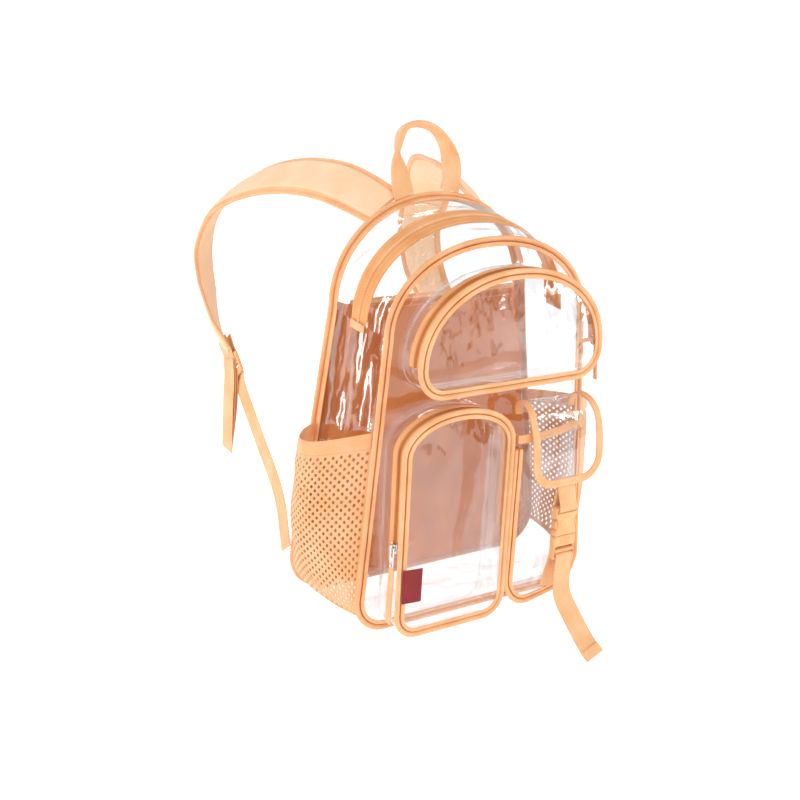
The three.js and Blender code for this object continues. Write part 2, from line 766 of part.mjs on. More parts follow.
// Side-release buckle: a forked upper half, a tongued lower half, and the webbing at both ends
const buckleX = rightCentre + buckleShift;
const buckleY = -(flapFoot + flapReach - 2);
function buildBuckle() {
  const forkLength = 0.55 * buckleLength;
  const tongueWidth = 0.66 * buckleWidth;
  const tongueLength = 0.3 * buckleLength;
  const right = vector(1, 0, 0);
  const up = vector(0, 0, 1);
  const out = vector(0, -1, 0);
  const female = new THREE.Shape();
  const [w, notch] = [buckleWidth / 2, tongueWidth / 2 + seamGap];
  const deep = tongueLength + seamGap;
  female.moveTo(-w, 0);
  female.lineTo(-notch, 0);
  female.lineTo(-notch, deep);
  female.lineTo(notch, deep);
  female.lineTo(notch, 0);
  female.lineTo(w, 0);
  female.lineTo(w, forkLength);
  female.lineTo(-w, forkLength);
  female.closePath();
  female.holes.push(rectangleHole(0, forkLength - barWidth - slotWidth / 2, closingWebbing + slotRoom, slotWidth));
  const forkFoot = vector(buckleX, buckleY, buckleTop - forkLength);
  addPiece('buckle_upper', placed(plate(female, buckleWall), forkFoot, right, up, out), peachPlastic);
  const male = new THREE.Shape();
  const body = buckleLength - forkLength - seamGap;
  male.moveTo(-w, -body);
  male.lineTo(w, -body);
  male.lineTo(w, 0);
  male.lineTo(tongueWidth / 2, 0);
  male.lineTo(tongueWidth / 2, tongueLength);
  male.lineTo(-tongueWidth / 2, tongueLength);
  male.lineTo(-tongueWidth / 2, 0);
  male.lineTo(-w, 0);
  male.closePath();
  for (const slot of [1, 2]) {
    const slotCentre = -body + slot * barWidth + (slot - 0.5) * slotWidth;
    male.holes.push(rectangleHole(0, slotCentre, closingWebbing + slotRoom, slotWidth));
  }
  const tongueFoot = vector(buckleX, buckleY, buckleTop - forkLength - seamGap);
  addPiece('buckle_lower', placed(plate(male, buckleWall), tongueFoot, right, up, out), peachPlastic);
  buildClosingWebbing();
}

// Webbing from the back of the flap to the buckle, from the buckle to the pocket's foot, and the loose tail
function buildClosingWebbing() {
  const face = vector(0, -1, 0);
  const row = (x, y, z) => ({ at: vector(x, y, z), face, width: closingWebbing, height: webbingWall });
  const behindFlap = (bindingWall + webbingWall) / 2 + 2 * seamGap - (flapFoot + flapReach);
  const flapTip = flapHingeHeight - flapDrop;
  addPiece('flap_strap', band([
    row(buckleX, behindFlap, flapTip + bindingWidth),
    row(buckleX, behindFlap, flapTip - 4),
    row(buckleX, buckleY + webbingWall, buckleTop + seamGap),
  ], 6), peachWebbing);
  const buckleFoot = buckleTop - buckleLength;
  const faceY = (z) => -(rightSheet.depth(buckleX - lowerStrapLean, z) + vinylWall + webbingWall);
  const lowZ = rightLow + 2 * flangeWidth;
  addPiece('lower_strap', band([
    row(buckleX, buckleY + (buckleWall + webbingWall) / 2 + seamGap, buckleFoot + 8),
    row(buckleX - lowerStrapLean / 4, (buckleY + faceY(lowZ)) / 2 + lowerStrapLean, (buckleFoot + lowZ) / 2),
    row(buckleX - lowerStrapLean, faceY(lowZ) - flangeWall - webbingWall, lowZ),
  ], 6), peachWebbing);
  const tailTable = [
    { out: 0.02, fall: 0.00 },
    { out: 0.06, fall: 0.16 },
    { out: 0.10, fall: 0.40 },
    { out: 0.40, fall: 0.64 },
    { out: 0.80, fall: 0.90 },
    { out: 1.00, fall: 1.00 },
  ];
  const tailTop = buckleFoot - 2 * seamGap;
  addPiece('strap_tail', band(tailTable.map(({ out, fall }) => row(
    buckleX + out * 0.5 * tailReach, buckleY - out * tailReach, tailTop - fall * tailDrop,
  )), 14), peachWebbing);
}

// A mesh pocket on one side: a bulging sheet that stands off the gusset, with a bound top
const meshRows = [0, 0.06, 0.14, 0.26, 0.42, 0.6, 0.8, 1];
const meshColumns = [0, 0.08, 0.22, 0.4, 0.6, 0.8, 0.93, 1];
function meshLift(height, share) {
  const fill = Math.min(1, 0.1 + 0.9 * Math.sin(Math.min(1, height / 0.75) * Math.PI / 2) ** 0.7);
  return seamGap + (meshBulge * fill) * Math.sin(Math.PI * share) ** 0.65;
}
function meshPoint(side, height, share, inset) {
  const low = lerp(meshLowRear, meshLowFront, share);
  const high = lerp(meshTopRear, meshTopFront, share) - meshDip * Math.sin(Math.PI * share);
  const z = lerp(low, high, height);
  const half = lerp(backOutline.halfWidthAt(z), frontOutline.halfWidthAt(z), share);
  const bulge = gussetBulge * 4 * share * (1 - share);
  const stand = bulge + meshLift(height, share) + fabricWall + 3 * seamGap - inset;
  const rear = pipingRadius + meshInset;
  const front = bagDepth - pipingRadius - meshInset;
  return vector(side * (half + stand), -lerp(rear, front, share), z);
}
function buildMeshPocket(name, side) {
  const ring = (height, wall) => [
    ...meshColumns.map((share) => meshPoint(side, height, share, (fabricWall - wall) / 2)),
    ...meshColumns.map((share) => meshPoint(side, height, share, (fabricWall + wall) / 2)).reverse(),
  ];
  const bandShare = meshBand / (meshTopRear - meshLowRear);
  const top = 1 - bandShare;
  addPiece(`${name}_mesh_pocket`, loft(meshRows.map((row) => ring(row * top, fabricWall))), peachMesh);
  const bandFoot = top + 0.003;
  addPiece(`${name}_mesh_band`, loft([bandFoot, 1].map((row) => ring(row, fabricWall))), peachTrim);
}

// Grab handle: webbing sewn flat into the back seam at both ends and folded into a grip
const handleTable = [
  { across: -0.96, up: 0.00, lean: 0.00, grip: 0.0 },
  { across: -1.07, up: 0.16, lean: 0.03, grip: 0.0 },
  { across: -1.12, up: 0.38, lean: 0.22, grip: 0.2 },
  { across: -1.04, up: 0.67, lean: 0.52, grip: 0.7 },
  { across: -0.66, up: 0.93, lean: 0.88, grip: 1.0 },
  { across: 0.00, up: 1.00, lean: 1.00, grip: 1.0 },
  { across: 0.66, up: 0.92, lean: 0.88, grip: 1.0 },
  { across: 1.08, up: 0.65, lean: 0.52, grip: 0.7 },
  { across: 1.16, up: 0.36, lean: 0.22, grip: 0.2 },
  { across: 1.09, up: 0.16, lean: 0.03, grip: 0.0 },
  { across: 1.00, up: 0.00, lean: 0.00, grip: 0.0 },
];

function buildHandle() {
  const half = handleSpan / 2;
  const seat = vinylWall;
  const seamTop = (x) => backOutline.heightAt(x) + pipingReach + 2 * seamGap;
  const apex = seamTop(0) + handleRise;
  const places = handleTable.map(({ across, up, lean }) => vector(
    handleShift + across * half,
    seat + lean * handleLean,
    lerp(seamTop(handleShift + Math.sign(across) * half), apex, up),
  ));
  const middle = vector(handleShift, seat, seamTop(0));
  const rows = handleTable.map(({ grip }, k) => ({
    at: places[k],
    face: vector(0, 1, 0).multiplyScalar(1 - grip).addScaledVector(places[k].clone().sub(middle).normalize(), grip),
    width: lerp(handleWebbing, gripWidth, grip),
    height: lerp(2 * webbingWall, gripWall, grip),
  }));
  addPiece('grab_handle', band(rows, 24), peachWebbing);
}

// The padded strap from the back seam over the shoulder to its adjuster: shares of the sizes above
const strapTable = [
  { out: 0.00, fore: 0.000, up: 0.000, wide: 0.84, pad: 0.55, face: [-0.69, 0.00, 0.94] },
  { out: 0.11, fore: 0.173, up: 0.056, wide: 0.93, pad: 1.00, face: [-0.69, 0.00, 0.94] },
  { out: 0.22, fore: 0.345, up: 0.085, wide: 1.00, pad: 1.00, face: [-0.69, 0.05, 0.94] },
  { out: 0.41, fore: 0.566, up: 0.065, wide: 1.00, pad: 1.00, face: [-0.75, 0.15, 0.92] },
  { out: 0.64, fore: 0.739, up: -0.010, wide: 1.00, pad: 1.00, face: [-0.83, 0.45, 0.80] },
  { out: 0.90, fore: 0.900, up: -0.172, wide: 0.97, pad: 1.00, face: [-0.83, 0.80, 0.45] },
  { out: 0.98, fore: 1.000, up: -0.414, wide: 0.92, pad: 1.00, face: [-0.88, 0.90, 0.10] },
  { out: 1.00, fore: 0.948, up: -0.667, wide: 0.86, pad: 1.00, face: [-0.75, 0.80, -0.10] },
  { out: 1.04, fore: 0.811, up: -0.874, wide: 0.72, pad: 0.90, face: [-0.80, 0.60, -0.20] },
  { out: 1.04, fore: 0.663, up: -1.000, wide: 0.55, pad: 0.60, face: [-0.92, 0.35, -0.20] },
];
const strapSeatHeight = backOutline.heightAt(strapSeat) + pipingCentre;
const strapSeatDepth = vinylWall + pipingRadius + 5 * seamGap;

function strapPlace(side, { out, fore, up }) {
  const x = side * (strapSeat + out * strapSplay);
  const y = strapSeatDepth + fore * strapReach;
  return vector(x, y, strapSeatHeight + up * strapFall);
}

function buildStrap(name, side) {
  const mirror = (v) => vector(-side * v[0], v[1], v[2]);
  const rows = strapTable.map((row) => ({
    at: strapPlace(side, row), face: mirror(row.face),
    width: row.wide * strapWidth, height: Math.max(strapEdge, row.pad * strapPad),
  }));
  addPiece(`${name}_strap_pad`, band(rows, 25, { edge: strapEdge }), peachFabric);

  // Adjuster: a three-bar plate in line with the end of the pad
  const end = rows[rows.length - 1].at;
  const wingCorner = vector(side * (backOutline.halfWidthAt(wingTip) + 2), wingReach, wingTip);
  const along = wingCorner.clone().sub(end).normalize();
  const face = vector(side, 0, 0).addScaledVector(along, -side * along.x).normalize();
  const across = new THREE.Vector3().crossVectors(along, face).normalize();
  const shape = roundedRectangle(strapWebbing + 2 * barWidth, adjusterLength, 2);
  const slotSpread = barWidth / 2 + slotWidth / 2;
  shape.holes.push(rectangleHole(0, slotSpread, strapWebbing + slotRoom, slotWidth));
  shape.holes.push(rectangleHole(0, -slotSpread, strapWebbing + slotRoom, slotWidth));
  const adjusterAt = end.clone().addScaledVector(along, adjusterLength / 2 + adjusterGap);
  const adjuster = placed(plate(shape, adjusterWall), adjusterAt, across, along, face);
  addPiece(`${name}_adjuster`, adjuster, peachPlastic);

  // Webbing from the adjuster past the wing's tip to the bottom of the back seam
  const webbing = (at, direction) => ({ at, face: direction, width: strapWebbing, height: webbingWall });
  const start = adjusterAt.clone().addScaledVector(along, adjusterLength / 2 + 2 * seamGap);
  const seamX = side * (backOutline.halfWidthAt(wingLow) + pipingReach);
  const seamEnd = vector(seamX, webbingFoot, wingLow + webbingFoot);
  const tip = wingCorner.clone().addScaledVector(face, webbingWall + vinylWall);
  addPiece(`${name}_lower_webbing`, band([
    webbing(start, face),
    webbing(start.clone().lerp(tip, 0.5), face),
    webbing(tip, face),
    webbing(seamEnd.clone().addScaledVector(face, 1), face),
  ], 12), peachWebbing);

  // Loose tail: it hangs from the adjuster's outer face and is folded over at its end
  const hang = adjusterAt.clone().addScaledVector(face, adjusterWall / 2 + seamGap + webbingWall);
  const tailRow = (down, fore) => ({
    at: hang.clone().add(vector(0, fore, -down * looseTail)),
    face, width: strapWebbing, height: 2 * webbingWall,
  });
  addPiece(`${name}_loose_webbing`, band([
    tailRow(-0.08, 6), tailRow(0.1, 1), tailRow(0.4, 2), tailRow(0.75, 6), tailRow(1, 9),
  ], 12), peachWebbing);

  // Clear wing between the back seam and the webbing
  buildWing(name, side, wingCorner, face);
}

function buildWing(name, side, tip, face) {
  const seam = (z) => vector(side * (backOutline.halfWidthAt(z) + pipingCentre), pipingRadius + 2, z);
  const corners = [seam(wingHigh), seam(wingLow), tip];
  const inner = corners.map((corner) => corner.clone().addScaledVector(face, -vinylWall / 2));
  const outer = corners.map((corner) => corner.clone().addScaledVector(face, vinylWall / 2));
  const triangles = [[0, 1, 2], [3, 5, 4], [0, 3, 1], [1, 3, 4], [1, 4, 2], [2, 4, 5], [2, 5, 0], [0, 5, 3]];
  addPiece(`${name}_wing`, closedBody([...inner, ...outer], triangles), clearVinyl);
}

// Slider, puller and fabric tab on the left side of the lower left pocket
const sliderY = -(leftRim - leftZipWidth / 2 + 1);
const sliderX = leftSide - coilHeight - seamGap;
const hingeX = sliderX - sliderWall - bridgeRoom / 2;
const hingeZ = leftZipLow + 2;
function buildLeftPuller() {
  const body = new THREE.BoxGeometry(sliderWall, sliderWidth, sliderLength)
    .translate(sliderX - sliderWall / 2, sliderY, hingeZ);
  const bridgeShape = new THREE.Shape();
  const [reach, half] = [bridgeRoom + bridgeBar, sliderLength * 0.36];
  bridgeShape.moveTo(-1, -half);
  bridgeShape.lineTo(reach, -half);
  bridgeShape.lineTo(reach, half);
  bridgeShape.lineTo(-1, half);
  bridgeShape.closePath();
  bridgeShape.holes.push(rectangleHole(bridgeRoom / 2, 0, bridgeRoom, 2 * half - 2 * bridgeBar));
  const foot = vector(sliderX - sliderWall, sliderY, hingeZ);
  const bridge = placed(plate(bridgeShape, bridgeWidth), foot, vector(-1, 0, 0), vector(0, 0, 1), vector(0, 1, 0));
  addPiece('left_pocket_slider', joined(body, bridge), chrome);

  const ringLength = sliderLength * 0.72;
  const shape = new THREE.Shape();
  const [w, top, bottom] = [pullerWidth / 2, pullerBar / 2, pullerBar / 2 - pullerLength];
  shape.moveTo(-w, top);
  shape.lineTo(-w * 0.8, bottom);
  shape.lineTo(w * 0.8, bottom);
  shape.lineTo(w, top);
  shape.closePath();
  shape.holes.push(rectangleHole(0, -pullerBar / 2 - ringLength / 2, bridgeWidth + 2 * ringRoom, ringLength));
  const hinge = vector(hingeX, sliderY, hingeZ);
  const puller = placed(plate(shape, pullerWall), hinge, vector(0, 1, 0), vector(0, 0, 1), vector(1, 0, 0));
  addPiece('left_pocket_puller', puller, chrome, pullerGroup);
  const tabTop = hingeZ + bottom - seamGap;
  const row = (share, out) => ({
    at: vector(hingeX - out, sliderY, tabTop - share * tabLength), face: vector(-1, 0, 0),
    width: lerp(pullerWidth, tabWidth, Math.min(1, share * 5)), height: fabricWall,
  });
  const tab = band([row(0, 0), row(0.2, 0), row(0.6, 1), row(1, 1)], 6);
  addPiece('left_pocket_pull_tab', tab, peachTrim, pullerGroup);
}

// Hidden slider and visible fabric pull at the right end of the upper pocket's zip
function buildUpperPull() {
  const side = upperOutline.halfWidthAt(upperOutline.spring) + upperShift;
  const z = upperOutline.spring + upperPark;
  const y = -(upperRim - upperZipWidth / 2);
  const x = side + coilHeight + seamGap;
  const body = new THREE.BoxGeometry(sliderWall, sliderWidth, sliderLength);
  body.translate(x + sliderWall / 2, y, z);
  addPiece('upper_pocket_slider', body, chrome);
  const row = (share, out, fore) => ({
    at: vector(x + sliderWall + seamGap + fabricWall / 2 + out, y - fore, z + upperPark - share * upperPullLength),
    face: vector(1, 0, 0), width: upperPullWidth, height: fabricWall,
  });
  addPiece('upper_pocket_pull', band([row(0, 0, 0), row(0.4, 1, 0), row(1, 3, 1)], 5), peachTrim);
}

// Small fabric pieces: the zip's end tabs and the blank side label
function buildSmallFabric() {
  const tapeShare = 1 - upperZipWidth / upperDepth / 2;
  const rightSpring = springStep + 0.3;
  const upperTab = endTab(upperShell, rightSpring, tapeShare, endTabLength, tabWidth);
  addPiece('upper_pocket_end_tab', upperTab, peachTrim);
  const leftShare = 1 - leftZipWidth / leftDepth / 2;
  const leftStep = outlineSteps - sideStepAt(leftOutline, leftZipLow) - 0.1;
  const leftTab = endTab(leftShell, leftStep, leftShare, endTabLength, tabWidth);
  addPiece('left_pocket_end_tab', leftTab, peachTrim);
  const x = leftSide + labelWidth / 2;
  const y = -(leftSheet.depth(leftSide + labelWidth, labelCentre) + vinylWall + seamGap + fabricWall / 4);
  const label = new THREE.BoxGeometry(labelWidth, fabricWall / 2, labelHeight).translate(x, y, labelCentre);
  addPiece('left_pocket_label', label, redFabric);
}

// Plain sliders of the main zip, parked together at its right-hand end
function buildMainSliders() {
  const share = (mainZipStart + mainZipWidth / 2) / bagDepth;
  const step = springStep + mainPark;
  const at = mainShell(step, share, coilHeight + seamGap + sliderWall / 2);
  const out = mainShell(step, share, 1).sub(mainShell(step, share, 0)).normalize();
  const along = mainShell(step + 0.2, share, 0).sub(mainShell(step - 0.2, share, 0)).normalize();
  const across = new THREE.Vector3().crossVectors(along, out).normalize();
  const up = new THREE.Vector3().crossVectors(out, across).normalize();
  const body = new THREE.BoxGeometry(sliderWidth, sliderLength, sliderWall);
  addPiece('main_zip_slider', placed(body, at, across, up, out), chrome);
}

buildMainBag();
buildSleeve();
buildZippedPocket('upper_pocket', {
  outline: upperOutline, sheet: upperSheet, shell: upperShell, depth: upperDepth,
  zipWidth: upperZipWidth, zipLow: upperOutline.spring,
});
buildZippedPocket('left_pocket', {
  outline: leftOutline, sheet: leftSheet, shell: leftShell, depth: leftDepth,
  zipWidth: leftZipWidth, zipLow: leftZipLow,
});
buildRightPocket();
buildBuckle();
buildMeshPocket('left', -1);
buildMeshPocket('right', 1);
buildHandle();
buildStrap('left', -1);
buildStrap('right', 1);
buildLeftPuller();
buildUpperPull();
buildSmallFabric();
buildMainSliders();

// The strap's underside at its highest point is where the bag rests on the shoulders
const shoulderRow = strapPlace(1, strapTable[2]);
bag.position.set(0, -shoulderRow.y - shoulderRoom, -(shoulderRow.z - strapPad / 2));
const backpack = new THREE.Group();
backpack.add(bag);

export default backpack;
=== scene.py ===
"""Looks for the clear backpack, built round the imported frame.

Lengths are millimetres of the bag's own frame until to_row turns them into metres of the row frame:
X to the right as the front is seen, -Y the front, Z up from the bag's foot, Y = 0 at the back panel.
"""
import math

import bmesh
import bpy
import numpy as np
from mathutils import Matrix, Vector


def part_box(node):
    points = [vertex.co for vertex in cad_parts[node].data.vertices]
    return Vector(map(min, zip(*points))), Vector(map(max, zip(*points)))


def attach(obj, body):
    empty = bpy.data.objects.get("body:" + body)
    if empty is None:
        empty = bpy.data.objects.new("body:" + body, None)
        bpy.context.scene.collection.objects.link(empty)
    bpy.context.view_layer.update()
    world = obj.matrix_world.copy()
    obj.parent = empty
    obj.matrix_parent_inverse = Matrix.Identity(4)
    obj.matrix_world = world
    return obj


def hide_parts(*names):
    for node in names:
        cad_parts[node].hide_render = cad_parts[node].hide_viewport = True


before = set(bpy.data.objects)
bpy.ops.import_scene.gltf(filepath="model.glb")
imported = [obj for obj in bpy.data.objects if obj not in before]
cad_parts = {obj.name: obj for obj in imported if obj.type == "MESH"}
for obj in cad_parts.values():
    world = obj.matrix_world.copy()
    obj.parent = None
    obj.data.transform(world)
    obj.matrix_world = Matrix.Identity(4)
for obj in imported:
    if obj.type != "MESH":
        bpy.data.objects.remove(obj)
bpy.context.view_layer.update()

MM = 0.001
BODY = "bag"
PULLER_BODY = "zip_puller"

# Walls and seams
VINYL = 1.0
VISIBLE_VINYL = 0.6
GAP = 0.4
PIPING_R = 2.6
PIPING_CENTRE = PIPING_R + 2 * GAP
REACH = PIPING_CENTRE + PIPING_R
FLANGE = 4.8
WEBBING = 1.6
BINDING = 9.0
PITCH = 3.6
STITCH = 2.5
STITCH_WIDE = 0.55
BAR_SUNK = 0.15
SEWN_PITCH = 2.8
SEWN_IN = 0.36
SEAM_IN = 3.6
PIPING_WRINKLE = 0.12
SHEET_RINGS = 26
RIBS = 5
SLOT = 3.4
X_AXIS, Y_AXIS, Z_AXIS = np.eye(3)

# Main bag
BAG_DEPTH = 113.0
GUSSET_BULGE = 5.0
FRONT_CROWN = 4.0
ZIP_START = 46.0
ZIP_WIDTH = 30.0
COIL = 1.4

foot_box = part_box("back_panel")
OFFSET = np.array([0.0, foot_box[0].y, foot_box[0].z - REACH * MM])


def circle(count):
    """Cosine and sine of evenly spaced angles."""
    return [(math.cos(a), math.sin(a)) for a in np.linspace(0, 2 * math.pi, count, endpoint=False)]


def to_row(points):
    return np.asarray(points, float) * MM + OFFSET


def lerp(a, b, t):
    return a + (b - a) * t


def unit(v):
    v = np.asarray(v, float)
    return v / np.maximum(np.linalg.norm(v, axis=-1, keepdims=True), 1e-12)


# Camera at the photograph's viewing angle
CAMERA_EYE = (-855.0, -1234.7, 692.7)
CAMERA_RIGHT = (0.8138, -0.5780, 0.0601)
CAMERA_BACK = (-0.565, -0.764, 0.312)
FOCAL_SHARE = 1376.4 / 800.0
SENSOR = 36.0


def make_camera():
    data = bpy.data.cameras.new("camera")
    camera = bpy.data.objects.new("camera", data)
    bpy.context.scene.collection.objects.link(camera)
    data.sensor_width = SENSOR
    data.sensor_fit = "HORIZONTAL"
    data.lens = SENSOR * FOCAL_SHARE
    data.shift_x = -0.0809
    data.shift_y = 0.0085
    data.clip_start = 0.05
    data.clip_end = 200.0
    right = unit(CAMERA_RIGHT)
    back = unit(np.array(CAMERA_BACK) - np.dot(CAMERA_BACK, right) * right)
    up = np.cross(back, right)
    place = Matrix.Identity(4)
    for row in range(3):
        place[row][0] = right[row]
        place[row][1] = up[row]
        place[row][2] = back[row]
        place[row][3] = to_row(CAMERA_EYE)[row]
    camera.matrix_world = place
    bpy.context.scene.camera = camera


make_camera()


# Materials

def srgb(code):
    channels = [int(code[k:k + 2], 16) / 255 for k in (0, 2, 4)]
    return tuple(c / 12.92 if c <= 0.04045 else ((c + 0.055) / 1.055) ** 2.4 for c in channels) + (1.0,)


class Nodes:
    """A material's node tree, with short calls for the nodes used here."""

    def __init__(self, name):
        self.material = bpy.data.materials.new(name)
        self.material.use_nodes = True
        self.tree = self.material.node_tree
        self.tree.nodes.clear()
        self.output = self.add("ShaderNodeOutputMaterial")

    def add(self, kind, **settings):
        node = self.tree.nodes.new(kind)
        for key, value in settings.items():
            setattr(node, key, value)
        return node

    def link(self, source, target):
        self.tree.links.new(source, target)

    def principled(self, **values):
        node = self.add("ShaderNodeBsdfPrincipled")
        for key, value in values.items():
            node.inputs[key.replace("_", " ")].default_value = value
        return node

    def place(self):
        return self.add("ShaderNodeTexCoord").outputs["Object"]

    def noise(self, vector, scale, detail=2.0, roughness=0.5, stretch=None):
        if stretch is not None:
            mapping = self.add("ShaderNodeMapping")
            mapping.inputs["Scale"].default_value = stretch
            self.link(vector, mapping.inputs["Vector"])
            vector = mapping.outputs["Vector"]
        node = self.add("ShaderNodeTexNoise")
        node.inputs["Scale"].default_value = scale
        node.inputs["Detail"].default_value = detail
        node.inputs["Roughness"].default_value = roughness
        self.link(vector, node.inputs["Vector"])
        return node.outputs["Fac"]

    def wave(self, vector, scale, direction="X", distortion=0.0, profile="SIN"):
        node = self.add("ShaderNodeTexWave", bands_direction=direction, wave_profile=profile)
        node.inputs["Scale"].default_value = scale
        node.inputs["Distortion"].default_value = distortion
        self.link(vector, node.inputs["Vector"])
        return node.outputs["Fac"]

    def maths(self, operation, a, b):
        node = self.add("ShaderNodeMath", operation=operation)
        for socket, value in zip(node.inputs, (a, b)):
            if isinstance(value, (int, float)):
                socket.default_value = value
            else:
                self.link(value, socket)
        return node.outputs[0]

    def ramp(self, factor, low, high, from_at=0.3, to_at=0.7):
        node = self.add("ShaderNodeValToRGB")
        node.color_ramp.elements[0].position = from_at
        node.color_ramp.elements[0].color = low
        node.color_ramp.elements[1].position = to_at
        node.color_ramp.elements[1].color = high
        self.link(factor, node.inputs["Fac"])
        return node.outputs["Color"]

    def bump(self, height, strength, distance):
        node = self.add("ShaderNodeBump")
        node.inputs["Strength"].default_value = strength
        node.inputs["Distance"].default_value = distance
        self.link(height, node.inputs["Height"])
        return node.outputs["Normal"]


def cloth(name, pale, deep, weave, roughness=0.7, sheen=0.25, depth=0.0004, rib=None):
    """Woven fabric: two crossed thread waves, colour that drifts, and a soft sheen."""
    n = Nodes(name)
    here = n.place()
    shader = n.principled(Roughness=roughness, Sheen_Weight=sheen, Sheen_Roughness=0.4)
    drift = n.noise(here, 35.0, 4.0)
    fine = n.noise(here, 900.0, 2.0)
    mixed = n.maths("ADD", n.maths("MULTIPLY", drift, 0.7), n.maths("MULTIPLY", fine, 0.3))
    n.link(n.ramp(mixed, deep, pale), shader.inputs["Base Color"])
    threads = n.maths("MULTIPLY", n.wave(here, weave, "Z"), n.wave(here, weave, "DIAGONAL"))
    height = n.maths("ADD", threads, n.maths("MULTIPLY", fine, 0.5))
    if rib is not None:
        height = n.maths("ADD", height, n.maths("MULTIPLY", n.wave(here, rib, "DIAGONAL"), 1.5))
    n.link(n.bump(height, 0.5, depth), shader.inputs["Normal"])
    n.link(shader.outputs[0], n.output.inputs["Surface"])
    return n.material


VINYL_IOR = 1.47


def vinyl(name, tint, haze, wave_depth):
    """Clear flexible vinyl: see-through, with a glossy skin whose waves break up what it mirrors."""
    n = Nodes(name)
    here = n.place()
    broad = n.noise(here, 22.0, 3.0, 0.55, (1.0, 1.0, 0.55))
    small = n.noise(here, 85.0, 2.0, 0.5)
    height = n.maths("ADD", broad, n.maths("MULTIPLY", small, 0.12))
    normal = n.bump(height, 1.0, wave_depth)
    clear = n.add("ShaderNodeBsdfTransparent")
    clear.inputs["Color"].default_value = tint
    gloss = n.add("ShaderNodeBsdfGlossy")
    gloss.inputs["Roughness"].default_value = 0.03
    gloss.inputs["Color"].default_value = (1.0, 1.0, 1.0, 1.0)
    n.link(normal, gloss.inputs["Normal"])
    fresnel = n.add("ShaderNodeFresnel")
    behind = n.add("ShaderNodeNewGeometry").outputs["Backfacing"]
    turned = n.maths("MULTIPLY", behind, 1 / VINYL_IOR - VINYL_IOR)
    n.link(n.maths("ADD", turned, VINYL_IOR), fresnel.inputs["IOR"])
    n.link(normal, fresnel.inputs["Normal"])
    skin = n.add("ShaderNodeMixShader")
    n.link(fresnel.outputs[0], skin.inputs[0])
    n.link(clear.outputs[0], skin.inputs[1])
    n.link(gloss.outputs[0], skin.inputs[2])
    milk = n.principled(Roughness=0.3)
    milk.inputs["Base Color"].default_value = (0.9, 0.93, 0.95, 1.0)
    n.link(normal, milk.inputs["Normal"])
    cloudy = n.maths("MULTIPLY", n.noise(here, 9.0, 3.0), haze)
    surface = n.add("ShaderNodeMixShader")
    n.link(cloudy, surface.inputs[0])
    n.link(skin.outputs[0], surface.inputs[1])
    n.link(milk.outputs[0], surface.inputs[2])
    n.link(surface.outputs[0], n.output.inputs["Surface"])
    return n.material


def moulded(name, pale, deep, roughness):
    """Moulded plastic: fine grain, slightly worn sheen."""
    n = Nodes(name)
    here = n.place()
    shader = n.principled(Roughness=roughness)
    drift = n.noise(here, 60.0, 3.0)
    n.link(n.ramp(drift, deep, pale), shader.inputs["Base Color"])
    n.link(n.bump(n.noise(here, 1400.0, 2.0), 0.15, 0.0002), shader.inputs["Normal"])
    n.link(shader.outputs[0], n.output.inputs["Surface"])
    return n.material


def plated(name):
    """Chrome plate with faint scratches."""
    n = Nodes(name)
    here = n.place()
    shader = n.principled(Metallic=1.0)
    shader.inputs["Base Color"].default_value = (0.82, 0.82, 0.83, 1.0)
    scratch = n.noise(here, 300.0, 3.0, 0.6, (1.0, 1.0, 0.08))
    n.link(n.maths("ADD", n.maths("MULTIPLY", scratch, 0.14), 0.08), shader.inputs["Roughness"])
    n.link(shader.outputs[0], n.output.inputs["Surface"])
    return n.material


MAT = {
    "clear_vinyl": vinyl("clear_vinyl", (0.98, 0.985, 0.99, 1.0), 0.012, 0.0020),
    "peach_trim": cloth("peach_trim", srgb("f6c08e"), srgb("eaa265"), 420.0, 0.42, 0.1, 0.0002),
    "peach_tape": cloth("peach_tape", srgb("f0ac6c"), srgb("e0924e"), 700.0, 0.6, 0.1, 0.0002),
    "peach_webbing": cloth("peach_webbing", srgb("f8c898"), srgb("eaaa70"), 500.0, 0.7, 0.15, 0.0003, 160.0),
    "peach_fabric": cloth("peach_fabric", srgb("fad9b4"), srgb("f4c798"), 900.0, 0.75, 0.2, 0.00015),
    "peach_mesh": cloth("peach_mesh", srgb("f5c393"), srgb("e8a970"), 900.0, 0.7, 0.15, 0.00015),
    # Sleeve cloth: peach cloth coloured deep orange, painted shade as if shaded behind the clear walls.
    "sleeve_fabric": cloth("sleeve_fabric", srgb("dc8338"), srgb("c4641c"), 600.0, 0.8, 0.1, 0.0003),
    "peach_plastic": moulded("peach_plastic", srgb("f6bd86"), srgb("eeaa6c"), 0.33),
    "chrome": plated("chrome"),
    "red_fabric": cloth("red_fabric", srgb("9a2427"), srgb("7c1719"), 700.0, 0.75, 0.2, 0.0003),
    # Darker orange: painted shade in the piping groove; also the colour of the pocket zips' coil teeth.
    "painted_groove_shade_and_coil": cloth("painted_groove_shade_and_coil", srgb("c98144"), srgb("a8612c"), 900.0, 0.7, 0.05, 0.0002),
    "pale_thread": cloth("pale_thread", srgb("efe6df"), srgb("cfc2b8"), 1500.0, 0.5, 0.1, 0.0001),
    "thread": cloth("thread", srgb("ffdcb4"), srgb("f3b880"), 1500.0, 0.6, 0.2, 0.0001),
}


# Mesh building

